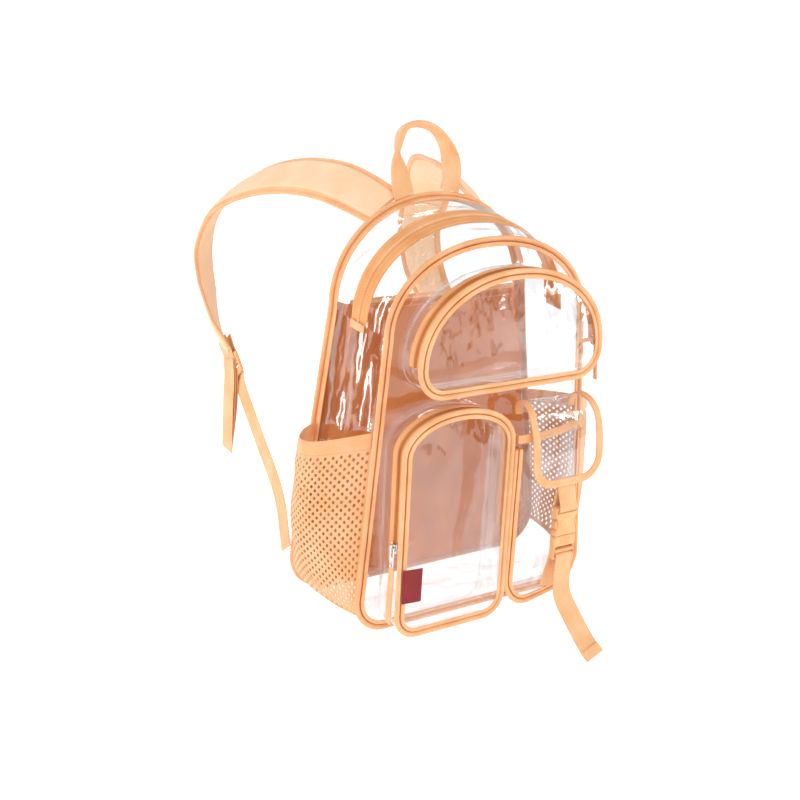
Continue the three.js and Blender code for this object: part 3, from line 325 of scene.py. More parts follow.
class Shape:
    """Points and faces that end up as one mesh; each part may have its own material."""

    def __init__(self):
        self.points = []
        self.faces = []
        self.materials = []
        self.count = 0

    def add(self, points, faces, material=0):
        points = np.asarray(points, float).reshape(-1, 3)
        for face in faces:
            self.faces.append([int(k) + self.count for k in face])
            self.materials.append(material)
        self.points.append(points)
        self.count += len(points)

    def build(self, node, suffix, slot, extra=(), body=BODY, smooth=35.0, replaces=True):
        """Makes the piece NODE_SUFFIX, which stands for the CAD node and rides on a body."""
        name = node + "_" + suffix
        mesh = bpy.data.meshes.new(name)
        mesh.from_pydata(to_row(np.concatenate(self.points)).tolist(), [], self.faces)
        for key in (slot, *extra):
            mesh.materials.append(MAT[key])
        mesh.polygons.foreach_set("material_index", self.materials)
        work = bmesh.new()
        work.from_mesh(mesh)
        bmesh.ops.remove_doubles(work, verts=work.verts, dist=2e-6)
        bmesh.ops.dissolve_degenerate(work, dist=1e-7, edges=work.edges)
        bmesh.ops.recalc_face_normals(work, faces=work.faces)
        work.to_mesh(mesh)
        work.free()
        piece = bpy.data.objects.new(name, mesh)
        bpy.context.scene.collection.objects.link(piece)
        mesh.shade_smooth()
        mesh.set_sharp_from_angle(angle=math.radians(smooth))
        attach(piece, body)
        if replaces:
            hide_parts(node)
        return piece


def grid_faces(rows, columns, wrap_rows=False, wrap_columns=False, start=0):
    index = np.arange(rows * columns).reshape(rows, columns) + start
    if wrap_rows:
        index = np.vstack([index, index[:1]])
    if wrap_columns:
        index = np.hstack([index, index[:, :1]])
    a, b, c, d = index[:-1, :-1], index[:-1, 1:], index[1:, 1:], index[1:, :-1]
    return np.stack([a, b, c, d], -1).reshape(-1, 4).tolist()


def wall(shape, outer, inner, wrap=False, material=0):
    """A closed wall between two grids of rows by columns; rows may close on themselves."""
    rows, columns = outer.shape[:2]
    size = rows * columns
    faces = grid_faces(rows, columns, wrap) + grid_faces(rows, columns, wrap, start=size)
    spans = rows if wrap else rows - 1
    for row in range(spans):
        after = (row + 1) % rows
        for column in (0, columns - 1):
            a, b = row * columns + column, after * columns + column
            faces.append([a, b, b + size, a + size])
    if not wrap:
        for row in (0, rows - 1):
            for column in range(columns - 1):
                a = row * columns + column
                faces.append([a, a + 1, a + 1 + size, a + size])
    shape.add(np.concatenate([outer.reshape(-1, 3), inner.reshape(-1, 3)]), faces, material)


def tube(shape, rings, wrap=False, material=0):
    """Skins rings of equal count, with flat ends where it isn't closed."""
    rows, columns = rings.shape[:2]
    faces = grid_faces(rows, columns, wrap, True)
    if not wrap:
        faces.append(list(range(columns)))
        faces.append(list(range((rows - 1) * columns, rows * columns)))
    shape.add(rings, faces, material)


def bars(shape, centres, along, up, length, width, height, material=0):
    """Small rounded bars, such as stitches or zip teeth, lying along a direction."""
    along = unit(along)
    across = unit(np.cross(along, up))
    over = unit(np.cross(across, along))
    corners = ((1, 0), (0.6, 1), (-0.6, 1), (-1, 0), (-0.6, -1), (0.6, -1))
    faces = [[5, 4, 3, 2, 1, 0], [6, 7, 8, 9, 10, 11]]
    faces += [[k, (k + 1) % 6, (k + 1) % 6 + 6, k + 6] for k in range(6)]
    for at, a, c, o in zip(centres, along, across, over):
        low = [at - a * length / 2 * s + c * w * width / 2 - o * BAR_SUNK for s, w in corners]
        top = [at - a * length / 2 * s * 0.6 + c * w * width / 4 + o * height for s, w in corners]
        shape.add(low + top, faces, material)


def waves(u, v, seed, low=35.0, high=120.0, count=7):
    """A smooth, repeatable ripple of about unit height over millimetres u and v."""
    rng = np.random.default_rng(seed)
    total = 0.0
    for _ in range(count):
        length = rng.uniform(low, high)
        angle = rng.uniform(0, math.pi)
        phase = rng.uniform(0, 2 * math.pi)
        total = total + np.sin((u * math.cos(angle) + v * math.sin(angle)) * 2 * math.pi / length + phase)
    return total / math.sqrt(count)


def distances(points):
    """Length run along a polyline at each of its points."""
    return np.concatenate([[0], np.cumsum(np.linalg.norm(np.diff(points, axis=0), axis=1))])


def resample(points, pitch):
    """Evenly spaced places along a polyline: points, directions and the share of the way."""
    run = distances(points)
    count = max(2, int(run[-1] / pitch))
    at = (np.arange(count) + 0.5) / count * run[-1]
    place, ahead, behind = (np.stack([np.interp(at + step, run, points[:, k]) for k in range(3)], -1)
                            for step in (0, pitch / 3, -pitch / 3))
    return place, unit(ahead - behind), at / run[-1]


def spread(vectors, share):
    """Vectors given along a path, read off at shares of the way."""
    run = np.linspace(0, 1, len(vectors))
    return np.stack([np.interp(share, run, vectors[:, k]) for k in range(vectors.shape[1])], -1)


def stitches(shape, line, over, pitch=PITCH, length=STITCH, wide=STITCH_WIDE, tall=0.3, material=1):
    """A row of stitches along a line; over is the same line lifted off the cloth."""
    at, along, share = resample(line, pitch)
    bars(shape, at, along, spread(over - line, share), length, wide, tall, material)


# Outlines

BOTTOM_STEPS, CORNER_STEPS, SIDE_STEPS, DOME_STEPS = 14, 12, 24, 54
SPRING = BOTTOM_STEPS + CORNER_STEPS + SIDE_STEPS
TOP = SPRING + DOME_STEPS
ROUND = 2 * TOP


class Outline:
    """Rounded bottom corners, straight sides and a superellipse top, given over the piping."""

    def __init__(self, width, shoulder, low, high, spring, corner, power, centre=0.0, lean=0.0):
        low, high, corner = low + REACH, high - REACH, corner - REACH
        half, half_top = width / 2 - REACH, shoulder / 2 - REACH
        right = [(0.0, low)]
        for k in range(1, BOTTOM_STEPS + 1):
            right.append((k / BOTTOM_STEPS * (half - corner), low))
        for k in range(1, CORNER_STEPS + 1):
            a = k / CORNER_STEPS * math.pi / 2
            right.append((half - corner + corner * math.sin(a), low + corner - corner * math.cos(a)))
        for k in range(1, SIDE_STEPS + 1):
            t = k / SIDE_STEPS
            right.append((lerp(half, half_top, t), lerp(low + corner, spring, t)))
        for k in range(1, DOME_STEPS + 1):
            a = k / DOME_STEPS * math.pi / 2
            across = max(0.0, math.cos(a)) ** (2 / power)
            right.append((half_top * across, spring + (high - spring) * math.sin(a) ** (2 / power)))
        left = [(-x, z) for x, z in right[1:-1]][::-1]
        flat = np.array(right + left)
        flat[:, 0] += centre + lean * (flat[:, 1] - low) / (high - low)
        self.points = flat
        ahead, behind = np.roll(flat, -1, 0), np.roll(flat, 1, 0)
        along = unit(ahead - behind)
        self.normals = np.stack([along[:, 1], -along[:, 0]], -1)
        self.middle = np.array([centre + lean / 2, (low + high) / 2])
        self.low, self.high, self.spring, self.corner = low, high, spring, corner
        self.half, self.half_top, self.power, self.centre = half, half_top, power, centre
        away = flat - self.middle
        angle = np.arctan2(away[:, 1], away[:, 0])
        order = np.argsort(angle)
        self.angles, self.radii = angle[order], np.linalg.norm(away, axis=1)[order]

    def share(self, x, z):
        dx, dz = np.asarray(x, float) - self.middle[0], np.asarray(z, float) - self.middle[1]
        reach = np.interp(np.arctan2(dz, dx), self.angles, self.radii, period=2 * math.pi)
        return np.hypot(dx, dz) / reach

    def half_width(self, z):
        z = np.asarray(z, float)
        bend = self.low + self.corner
        arc = np.sqrt(np.maximum(0, self.corner ** 2 - np.maximum(0, bend - z) ** 2))
        foot = self.half - self.corner + arc
        side = lerp(self.half, self.half_top, (z - bend) / (self.spring - bend))
        up = np.clip((z - self.spring) / (self.high - self.spring), 0, 1)
        dome = self.half_top * np.maximum(0, 1 - up ** self.power) ** (1 / self.power)
        return np.where(z < bend, foot, np.where(z < self.spring, side, dome))

    def height(self, x):
        across = min(1.0, abs((x - self.centre) / self.half_top))
        return self.spring + (self.high - self.spring) * (1 - across ** self.power) ** (1 / self.power)

    def side_step(self, z):
        start, end = self.points[BOTTOM_STEPS + CORNER_STEPS][1], self.points[SPRING][1]
        return BOTTOM_STEPS + CORNER_STEPS + SIDE_STEPS * (z - start) / (end - start)

    def at(self, steps):
        steps = np.asarray(steps, float) % ROUND
        first = np.floor(steps).astype(int) % ROUND
        mix = (steps - np.floor(steps))[:, None]
        after = (first + 1) % ROUND
        normal = unit(lerp(self.normals[first], self.normals[after], mix))
        return lerp(self.points[first], self.points[after], mix), normal


class Sheet:
    """A crowned sheet inside an outline; facing is -1 for the front and +1 for the back."""

    def __init__(self, outline, facing, rim, crown):
        self.outline, self.facing, self.rim, self.crown = outline, facing, rim, crown

    def depth(self, x, z):
        share = np.minimum(1, self.outline.share(x, z))
        return self.rim(x) + self.crown * (1 - share ** 2)


def sheet_piece(name, sheet, seed, ripple):
    """The clear sheet with its slack ripples, which die away at the sewn edge."""
    outline = sheet.outline
    shares = np.linspace(1, 0.015, SHEET_RINGS)
    flat = outline.middle + shares[:, None, None] * (outline.points[None] - outline.middle)
    x, z = flat[..., 0], flat[..., 1]
    slack = (1 - shares[:, None] ** 6) * ripple
    depth = sheet.rim(x) + sheet.crown * (1 - shares[:, None] ** 2) + slack * waves(x, z, seed, 35.0, 130.0)
    layers = [np.stack([x, sheet.facing * (depth + lift), z], -1).transpose(1, 0, 2).reshape(-1, 3)
              for lift in (VISIBLE_VINYL, 0)]
    rows, columns = ROUND, SHEET_RINGS
    size = rows * columns
    faces = grid_faces(rows, columns, True) + grid_faces(rows, columns, True, start=size)
    for row in range(rows):
        a, b = row * columns, (row + 1) % rows * columns
        faces.append([a, b, b + size, a + size])
    for start in (columns - 1, columns - 1 + size):
        faces.append([row * columns + start for row in range(rows)])
    shape = Shape()
    shape.add(np.concatenate(layers), faces)
    shape.build(name, "sheet", "clear_vinyl")


def piping_section():
    """Round cord, a groove, and the flat flange that is stitched down: pairs n (outward) and d (away)."""
    points = [(-FLANGE, 0.7), (-0.4, 0.7)]
    for k in range(15):
        angle = math.radians(205 + k * (152 - (-155)) / 14)
        points.append((PIPING_CENTRE + PIPING_R * math.cos(angle), 0.1 + PIPING_R * math.sin(angle)))
    points += [(0.5, 0.45), (-0.1, 0.45), (-0.6, 1.3), (-1.2, 1.75), (-3.0, 1.85)]
    return np.array(points + [(-FLANGE + 0.4, 1.7), (-FLANGE, 1.3)])


def piping_piece(name, sheet, first=0, last=ROUND, gusset=None):
    """Bound edge: round piping, its flange and the stitches along it."""
    outline = sheet.outline
    closed = last - first == ROUND
    edge, normal = outline.at(np.arange(first, last + (0 if closed else 1)))
    section = piping_section()
    wrinkle = PIPING_WRINKLE * np.sin(distances(edge)[:, None] * 0.9 + section[None, :, 1])
    flat = edge[:, None, :] + (section[None, :, 0] + wrinkle)[..., None] * normal[:, None, :]
    depth = sheet.depth(flat[..., 0], flat[..., 1]) + VISIBLE_VINYL + section[None, :, 1]
    shape = Shape()
    tube(shape, np.stack([flat[..., 0], sheet.facing * depth, flat[..., 1]], -1), closed)
    # The groove faces take the darker colour: painted shade where the groove between cord and flange sits in shadow.
    for k, face in enumerate(shape.faces):
        if len(face) == 4 and 17 <= k % len(section) <= 18:
            shape.materials[k] = 2
    line = edge - SEAM_IN * normal
    y = sheet.facing * (sheet.depth(line[:, 0], line[:, 1]) + VISIBLE_VINYL + 1.75)
    path = np.stack([line[:, 0], y, line[:, 1]], -1)
    if closed:
        path = np.vstack([path, path[:1]])
    stitches(shape, path, path + sheet.facing * Y_AXIS)
    if gusset is not None:
        gusset(shape)
    shape.build(name, "bound", "peach_trim", ("thread", "painted_groove_shade_and_coil"))


class Shell:
    """A curved wall between a rear and a front outline."""

    def __init__(self, rear, front, rear_y, front_y, bulge):
        self.rear, self.front, self.rear_y, self.front_y, self.bulge = rear, front, rear_y, front_y, bulge

    def at(self, steps, shares, lift):
        a, na = self.rear.at(steps)
        b, nb = self.front.at(steps)
        s = np.asarray(shares, float)[None, :, None]
        out = lift + self.bulge * 4 * s[..., 0] * (1 - s[..., 0])
        flat = lerp(a[:, None], b[:, None], s) + out[..., None] * lerp(na[:, None], nb[:, None], s)
        ya, yb = self.rear_y(a[:, 0], a[:, 1]), self.front_y(b[:, 0], b[:, 1])
        y = lerp(ya[:, None], yb[:, None], s[..., 0])
        return np.stack([flat[..., 0], y, flat[..., 1]], -1)


def steps_between(first, last):
    inner = np.arange(math.floor(first) + 1, math.ceil(last - 1e-9))
    return np.concatenate([[first], inner, [last]])


def strip_grid(shell, first, last, start, end, count, lift, ripple=0.0, seed=0):
    shares = np.linspace(start, end, count)
    t = np.linspace(0, 1, count)[None, :]
    base = shell.at(steps_between(first, last), shares, 0.0)
    folds = waves(base[..., 0] + base[..., 2], base[..., 1] * 1.7, seed, 25.0, 90.0)
    return shell.at(steps_between(first, last), shares, lift + ripple * (1 - (2 * t - 1) ** 4) * folds)


def strip_wall(shape, shell, first, last, start, end, count, top, bottom, ripple=0.0, seed=0):
    wall(shape, *(strip_grid(shell, first, last, start, end, count, lift, ripple, seed)
                  for lift in (top, bottom)))


def strip_sheet(name, shell, first, last, start, end, count, ripple, seed, foot=False):
    """A clear strip of a shell, with its sewn foot where it stands on the front panel."""
    shape = Shape()
    strip_wall(shape, shell, first, last, start, end, count, 0.0, -VISIBLE_VINYL, ripple, seed)
    if foot:
        foot_seam(shape, shell, first, last)
    shape.build(name, "sheet", "clear_vinyl", ("pale_thread",) if foot else ())


def seam_row(shape, shell, first, last, share, lift, wide=STITCH_WIDE):
    """A row of stitches along a shell."""
    steps = steps_between(first, last)
    line, over = (shell.at(steps, [share], lift + up)[:, 0] for up in (0, 1))
    stitches(shape, line, over, wide=wide)


def zip_piece(name, shell, first, last, start, end, depth, coil=2):
    """Two tapes and a coil of small teeth, with a stitch row near each outer edge."""
    middle = (start + end) / 2
    half_coil = 3.2 / depth
    steps = steps_between(first, last)
    shape = Shape()
    for a, b in ((start, middle - half_coil * 0.45), (middle + half_coil * 0.45, end)):
        strip_wall(shape, shell, first, last, a, b, 7, 0.0, -1.0)
    strip_wall(shape, shell, first, last, middle - half_coil * 0.5, middle + half_coil * 0.5, 5, 0.5, -0.2)
    path = shell.at(steps, [middle - 0.01, middle, middle + 0.01], 0.45)
    above = shell.at(steps, [middle], 1.45)[:, 0]
    at, _, share = resample(path[:, 1], 1.7)
    across = spread(path[:, 2] - path[:, 0], share)
    # Coil teeth use slot coil: 1 is the pale thread, 2 the darker groove colour.
    bars(shape, at, across, spread(above - path[:, 1], share), 5.2, 1.2, 0.9, coil)
    for share in (start + 2.2 / depth, end - 2.2 / depth, middle - 5.2 / depth, middle + 5.2 / depth):
        seam_row(shape, shell, first, last, share, 0.05)
    shape.build(name, "woven", "peach_tape", ("thread", "painted_groove_shade_and_coil"))


# Main bag
back_outline = Outline(338, 258, 0, 445, 328, 45, 2.1)
front_outline = Outline(306, 262, -6, 418, 320, 38, 2.1)
back_sheet = Sheet(back_outline, 1, lambda x: np.zeros_like(np.asarray(x, float)), 0.0)
front_sheet = Sheet(front_outline, -1, lambda x: np.full_like(np.asarray(x, float), BAG_DEPTH), FRONT_CROWN)
main_shell = Shell(back_outline, front_outline, lambda x, z: np.full_like(x, -GAP),
                   lambda x, z: np.full_like(x, GAP - BAG_DEPTH), GUSSET_BULGE)


def front_face(x, z):
    return -(front_sheet.depth(x, z) + VINYL + GAP)


def build_main_bag():
    sheet_piece("back_panel", back_sheet, 3, 0.0)
    sheet_piece("front_panel", front_sheet, 5, 1.3)

    def rear_binding(shape):
        steps = (0, ROUND - 0.001)
        strip_wall(shape, main_shell, *steps, 0.004, 0.10, 4, 1.4, 0.5)
        seam_row(shape, main_shell, *steps, 0.085, 1.4)

    piping_piece("back_piping", back_sheet, gusset=rear_binding)
    piping_piece("front_piping", front_sheet)
    strip_sheet("lower_gusset", main_shell, -SPRING, SPRING, 0.0, 1.0, 26, 1.6, 11)
    first, last = SPRING + 0.1, ROUND - SPRING - 0.1
    start, end = ZIP_START / BAG_DEPTH, (ZIP_START + ZIP_WIDTH) / BAG_DEPTH
    strip_sheet("rear_top_gusset", main_shell, first, last, 0.0, start - 0.004, 14, 1.5, 12)
    strip_sheet("front_top_gusset", main_shell, first, last, end + 0.004, 1.0, 12, 1.2, 13)
    zip_piece("main_zip_tape", main_shell, first, last, start, end, BAG_DEPTH, 1)
    tabs = Shape()
    for middle in (SPRING, ROUND - SPRING):
        strip_wall(tabs, main_shell, middle - 0.55, middle + 0.55, start + 0.015, end - 0.015, 6, 2.0, 1.2)
    tabs.build("main_zip", "end_tabs", "peach_trim", replaces=False)


def build_sleeve():
    """Padded fabric sleeve against the back, open at the top."""
    shape = Shape()
    z = np.linspace(back_outline.low + 4, 332, 60)[:, None]
    half = back_outline.half_width(z) - 4.0
    q = np.linspace(-1, 1, 50)[None, :]
    x = q * half
    puff = 0.8 * waves(x, z + 0 * x, 21, 60.0, 160.0)
    turn = np.clip((np.abs(q) - 0.985) / 0.015, 0, 1)
    y = -(13.0 + puff * (1 - turn)) * (1 - turn) - 0.6 * turn + 0 * z
    outer = np.stack([x, y, z + 0 * x], -1)
    aside = np.stack([np.sign(q) * 1.6 * turn, 0 * q, 0 * q], -1)
    wall(shape, outer, outer + np.array([0, 1.8, 0]) * (1 - turn)[..., None] - aside)
    rim = outer[-1][2:-2]
    for drop in (3.0, 9.0):
        line = rim - [0, 0.3, drop]
        stitches(shape, line, line - Y_AXIS, 4.0, 2.8, 0.6)
    ring = [rim + [0, 1.0 + 2.2 * c, 1.0 + 3.0 * s] for c, s in circle(10)]
    tube(shape, np.stack(ring, 1), material=2)
    # The sleeve's deep orange is painted shade over peach cloth.
    shape.build("inner_sleeve", "padded", "sleeve_fabric", ("thread", "peach_trim"))


# Pockets
UPPER_DEPTH = 40.0
LEFT_DEPTH = 43.0
POCKET_ZIP = 20.0
POCKET_BULGE = 4.0
upper_outline = Outline(240, 240, 262, 392, 297, 34, 2.1, centre=5.0)
left_outline = Outline(142.75, 142.75, 2, 250, 205, 28, 2.1, centre=-59.625)
UPPER_RIM = BAG_DEPTH + VINYL + UPPER_DEPTH
LEFT_RIM = BAG_DEPTH + VINYL + LEFT_DEPTH


def flat_rim(rim):
    return lambda x: np.full_like(np.asarray(x, float), rim)


def pocket_shell(outline, rim):
    return Shell(outline, outline, front_face, lambda x, z: GAP - rim(x), POCKET_BULGE)


upper_sheet = Sheet(upper_outline, -1, flat_rim(UPPER_RIM), 7.0)
left_sheet = Sheet(left_outline, -1, flat_rim(LEFT_RIM), 6.0)
upper_shell = pocket_shell(upper_outline, flat_rim(UPPER_RIM))
left_shell = pocket_shell(left_outline, flat_rim(LEFT_RIM))


def foot_seam(shape, shell, first, last):
    """The sewn foot of a pocket wall: a clear flange on the front panel and two rows of pale stitches."""
    for share in (0.06, 0.17):
        seam_row(shape, shell, first, last, share, 0.05, wide=0.7)
    edge, normal = shell.rear.at(steps_between(first, last))
    layers = []
    for lift in (0.9, 0.3):
        flat = edge[:, None] + np.array([0.0, 2.5, 5.0])[None, :, None] * normal[:, None]
        y = front_face(flat[..., 0], flat[..., 1]) - lift + GAP
        layers.append(np.stack([flat[..., 0], y, flat[..., 1]], -1))
    wall(shape, *layers)


def build_zipped_pocket(name, outline, sheet, shell, depth, zip_low, seed):
    step = min(SPRING, outline.side_step(zip_low))
    split = 1 - POCKET_ZIP / depth
    strip_sheet(name + "_gusset", shell, -step + 0.1, step - 0.1, 0.0, 1.0, 12, 0.7, seed, True)
    first, last = step, ROUND - step
    strip_sheet(name + "_rear_strip", shell, first, last, 0.0, split - GAP / depth, 7, 0.6, seed + 1, True)
    zip_piece(name + "_zip_tape", shell, first, last, split, 1.0, depth)
    sheet_piece(name + "_face", sheet, seed + 2, 1.5)
    piping_piece(name + "_piping", sheet)


SPLIT = 12.5
RIGHT_EDGE = 153.0 - 11.0
RIGHT_INNER = SPLIT + 0.75
RIGHT_WIDTH = RIGHT_EDGE - RIGHT_INNER
RIGHT_CENTRE = (RIGHT_EDGE + RIGHT_INNER) / 2
RIGHT_TOP = 208.0 - BINDING
right_shoulder = float(front_outline.half_width(208.0)) + REACH - 11.0 - RIGHT_INNER
RIGHT_LEAN = (right_shoulder - RIGHT_WIDTH) / 2
right_outline = Outline(RIGHT_WIDTH, right_shoulder, 4, RIGHT_TOP + REACH, RIGHT_TOP - 6, 36, 6.0,
                        centre=RIGHT_CENTRE, lean=RIGHT_LEAN)


def right_rim(x):
    share = np.clip((np.asarray(x, float) - RIGHT_INNER - REACH) / (RIGHT_WIDTH - 2 * REACH), 0, 1)
    return BAG_DEPTH + VINYL + FRONT_CROWN + lerp(37.0, 9.0, share ** 1.6)


right_sheet = Sheet(right_outline, -1, right_rim, 7.0)
right_shell = Shell(right_outline, right_outline, front_face, lambda x, z: GAP - right_rim(x), 0.0)


def build_right_pocket():
    strip_sheet("right_pocket_gusset", right_shell, -SPRING, SPRING, 0.0, 1.0, 10, 0.5, 41, True)
    sheet_piece("right_pocket_face", right_sheet, 43, 1.2)
    piping_piece("right_pocket_piping", right_sheet, -SPRING, SPRING)
    z = RIGHT_TOP + GAP
    q = np.linspace(-1, 1, 60)
    x = RIGHT_CENTRE + RIGHT_LEAN + q * (right_shoulder / 2 - REACH)
    face = np.stack([x, -(right_rim(x) + 0.6 * 7.0 * (1 - q * q)), np.full_like(x, z)], -1)
    back = np.linspace(0, 1, 14, endpoint=False)
    ends = [np.array([[x0, lerp(float(front_face(x0, z)), y0, t), z] for t in back])
            for x0, y0, _ in face[[0, -1]]]
    path = np.vstack([ends[0], face, ends[1][::-1]])
    along = unit(np.gradient(path, axis=0))
    out = unit(np.stack([along[:, 1], -along[:, 0], 0 * along[:, 0]], -1))
    section = [(-1, 0), (-0.6, -0.4), (0.6, -0.4), (1, 0.8), (1, BINDING - 1.2), (0.5, BINDING),
               (-0.5, BINDING), (-1, BINDING - 1.2), (-1, 0.8)]
    shape = Shape()
    tube(shape, np.stack([path + out * side * 1.2 + Z_AXIS * height for side, height in section], 1))
    for height in (2.0, 7.2):
        line = path + out * 1.15 + Z_AXIS * height
        stitches(shape, line, line + out)
    shape.build("right_pocket_rim", "bound", "peach_trim", ("thread",))


def curve(points, count=400):
    """A smooth centripetal curve through points, at evenly spaced steps from point to point."""
    points = np.asarray(points, float)
    last = len(points) - 1
    padded = np.vstack([2 * points[0] - points[1], points, 2 * points[-1] - points[-2]])
    places = []
    for t in np.linspace(0, 1, count + 1):
        run = min(t * last, last - 1e-9)
        k = int(run)
        w = run - k
        p0, p1, p2, p3 = padded[k:k + 4]
        d0, d1, d2 = (max(np.dot(b - a, b - a) ** 0.25, 1e-6) for a, b in ((p0, p1), (p1, p2), (p2, p3)))
        t1 = ((p1 - p0) / d0 - (p2 - p0) / (d0 + d1) + (p2 - p1) / d1) * d1
        t2 = ((p2 - p1) / d1 - (p3 - p1) / (d1 + d2) + (p3 - p2) / d2) * d1
        square, cube = -3 * p1 + 3 * p2 - 2 * t1 - t2, 2 * p1 - 2 * p2 + t1 + t2
        places.append(p1 + t1 * w + square * w ** 2 + cube * w ** 3)
    return np.array(places)


class Band:
    """Frames along a smooth path; rows give place, face direction, width and height."""

    def __init__(self, rows, count=120):
        self.path = curve([row[0] for row in rows], count)
        share = np.linspace(0, 1, count + 1)
        face = spread(np.array([row[1] for row in rows], float), share)
        self.width, self.height = spread(np.array([row[2:] for row in rows], float), share).T
        self.along = unit(np.gradient(self.path, axis=0))
        self.across = unit(np.cross(self.along, face))
        self.up = unit(np.cross(self.across, self.along))
        self.run = distances(self.path)

    def grid(self, q, lift):
        return (self.path[:, None] + (q * self.width[:, None])[..., None] * self.across[:, None]
                + lift[..., None] * self.up[:, None])

    def rings(self, q, lift, under=None):
        under = -lift if under is None else under
        return np.concatenate([self.grid(q[None, :], lift), self.grid(q[None, :], under)[:, ::-1]], 1)

    def tape(self, shape, columns, power, root):
        """A flat tape whose edges round off."""
        q = np.linspace(-0.5, 0.5, columns)
        edge = np.clip(1 - np.abs(2 * q) ** power, 0.01, 1) ** root
        tube(shape, self.rings(q, self.height[:, None] / 2 * edge[None, :]))

    def stitches(self, shape, q, lift, start=0.0, end=1.0, pitch=PITCH, side=1):
        """A row of stitches along the band at a share across it."""
        chosen = (self.run >= start * self.run[-1]) & (self.run <= end * self.run[-1])
        line = self.path + (q * self.width)[:, None] * self.across + lift * side * self.up
        stitches(shape, line[chosen], (line + side * self.up)[chosen], pitch)

    def both_faces(self, shape, shares, lift, start=0.0, end=1.0, pitch=PITCH):
        for q in shares:
            for side in (1, -1):
                self.stitches(shape, q, lift, start, end, pitch, side)


def webbing(shape, band, material=0):
    """Woven webbing with lengthwise ribs and rounded edges."""
    q = np.linspace(-0.5, 0.5, 41)
    edge = np.sqrt(np.clip(1 - np.abs(2 * q) ** 14, 0.02, 1))
    rib = 0.24 * (1 - np.abs(np.sin(math.pi * RIBS * (q + 0.5))) ** 0.7)
    tube(shape, band.rings(q, band.height[:, None] / 2 * edge[None, :] - rib[None, :]), material=material)


def sewn_box(shape, band, start, end, lift):
    """Stitches along and across a sewn length of webbing."""
    for q in (-SEWN_IN, SEWN_IN):
        band.stitches(shape, q, lift, start, end, SEWN_PITCH)
    for share in (start, end):
        k = int(np.clip(share * (len(band.path) - 1), 0, len(band.path) - 1))
        middle = band.path[k] + lift * band.up[k]
        line = np.array([middle + q * band.width[k] * band.across[k] for q in (-SEWN_IN, SEWN_IN)])
        stitches(shape, line, line + band.up[k], SEWN_PITCH, 2.1)


def rounded(points, radius, steps=5):
    """A polygon with its corners rounded."""
    points = [np.array(p, float) for p in points]
    out = []
    for k, p in enumerate(points):
        a, b = points[k - 1], points[(k + 1) % len(points)]
        r = min(radius, np.linalg.norm(a - p) * 0.45, np.linalg.norm(b - p) * 0.45)
        start, end = p + unit(a - p) * r, p + unit(b - p) * r
        for t in np.linspace(0, 1, steps + 1):
            out.append((1 - t) ** 2 * start + 2 * t * (1 - t) * p + t * t * end)
    return out


def box_ring(x, y, width, height, radius=0.8):
    corners = [(x - width / 2, y - height / 2), (x + width / 2, y - height / 2),
               (x + width / 2, y + height / 2), (x - width / 2, y + height / 2)]
    return rounded(corners, radius)


def plate(shape, rings, thick, bevel, origin, right, up, out, material=0):
    """A plate with rounded edges from flat rings, the first the outline and the others holes."""
    data = bpy.data.curves.new("outline", "CURVE")
    data.dimensions = "2D"
    data.fill_mode = "BOTH"
    data.extrude = thick / 2 - bevel
    data.bevel_depth = bevel
    data.offset = -bevel
    data.bevel_resolution = 3
    for ring in rings:
        spline = data.splines.new("POLY")
        spline.points.add(len(ring) - 1)
        for point, (x, y) in zip(spline.points, ring):
            point.co = (x, y, 0, 1)
        spline.use_cyclic_u = True
    piece = bpy.data.objects.new("outline", data)
    bpy.context.scene.collection.objects.link(piece)
    bpy.context.view_layer.update()
    mesh = bpy.data.meshes.new_from_object(piece.evaluated_get(bpy.context.evaluated_depsgraph_get()))
    flat = np.array([vertex.co for vertex in mesh.vertices])
    faces = [list(polygon.vertices) for polygon in mesh.polygons]
    bpy.data.objects.remove(piece)
    bpy.data.curves.remove(data)
    bpy.data.meshes.remove(mesh)
    place = np.asarray(origin, float) + flat[:, :1] * right + flat[:, 1:2] * up + flat[:, 2:3] * out
    shape.add(place, faces, material)


# Flap of the right pocket
FLAP_FOOT = BAG_DEPTH + FRONT_CROWN + VINYL + 1.3 + GAP
FLAP_TOP = 221.0
FLAP_REACH = 48.0
FLAP_DROP = 76.0
FLAP_CORNER = 30.0
FLAP_HALF = 49.0
FLAP_HINGE_HALF = 41.0
FLAP_CENTRE = RIGHT_CENTRE + 4.0
FLAP_SIDE = [(0.00, -0.03), (0.01, 0.12), (0.22, 0.20), (0.58, 0.13),
             (0.84, -0.12), (0.95, -0.45), (1.00, -1.00)]
flap_line = curve([(0, -(FLAP_FOOT + r * FLAP_REACH), FLAP_TOP + d * FLAP_DROP) for r, d in FLAP_SIDE], 600)
flap_run = np.concatenate([[0], np.cumsum(np.linalg.norm(np.diff(flap_line, axis=0), axis=1))])
flap_along = unit(np.gradient(flap_line, axis=0))
FLAP_LENGTH = flap_run[-1]


def flap_point(x, down, lift):
    down = np.clip(down, 0, FLAP_LENGTH)
    at = [np.interp(down, flap_run, flap_line[:, k]) for k in (1, 2)]
    ahead = [np.interp(down, flap_run, flap_along[:, k]) for k in (1, 2)]
    return np.stack([FLAP_CENTRE + x + 0 * down, at[0] + lift * ahead[1], at[1] - lift * ahead[0]], -1)


def flap_half(down):
    wide = lerp(FLAP_HINGE_HALF, FLAP_HALF, np.minimum(1, down / (FLAP_LENGTH * 0.4)))
    into = np.maximum(0, down - (FLAP_LENGTH - FLAP_CORNER))
    return np.where(into > 0, wide - FLAP_CORNER + np.sqrt(np.maximum(0, FLAP_CORNER ** 2 - into ** 2)), wide)


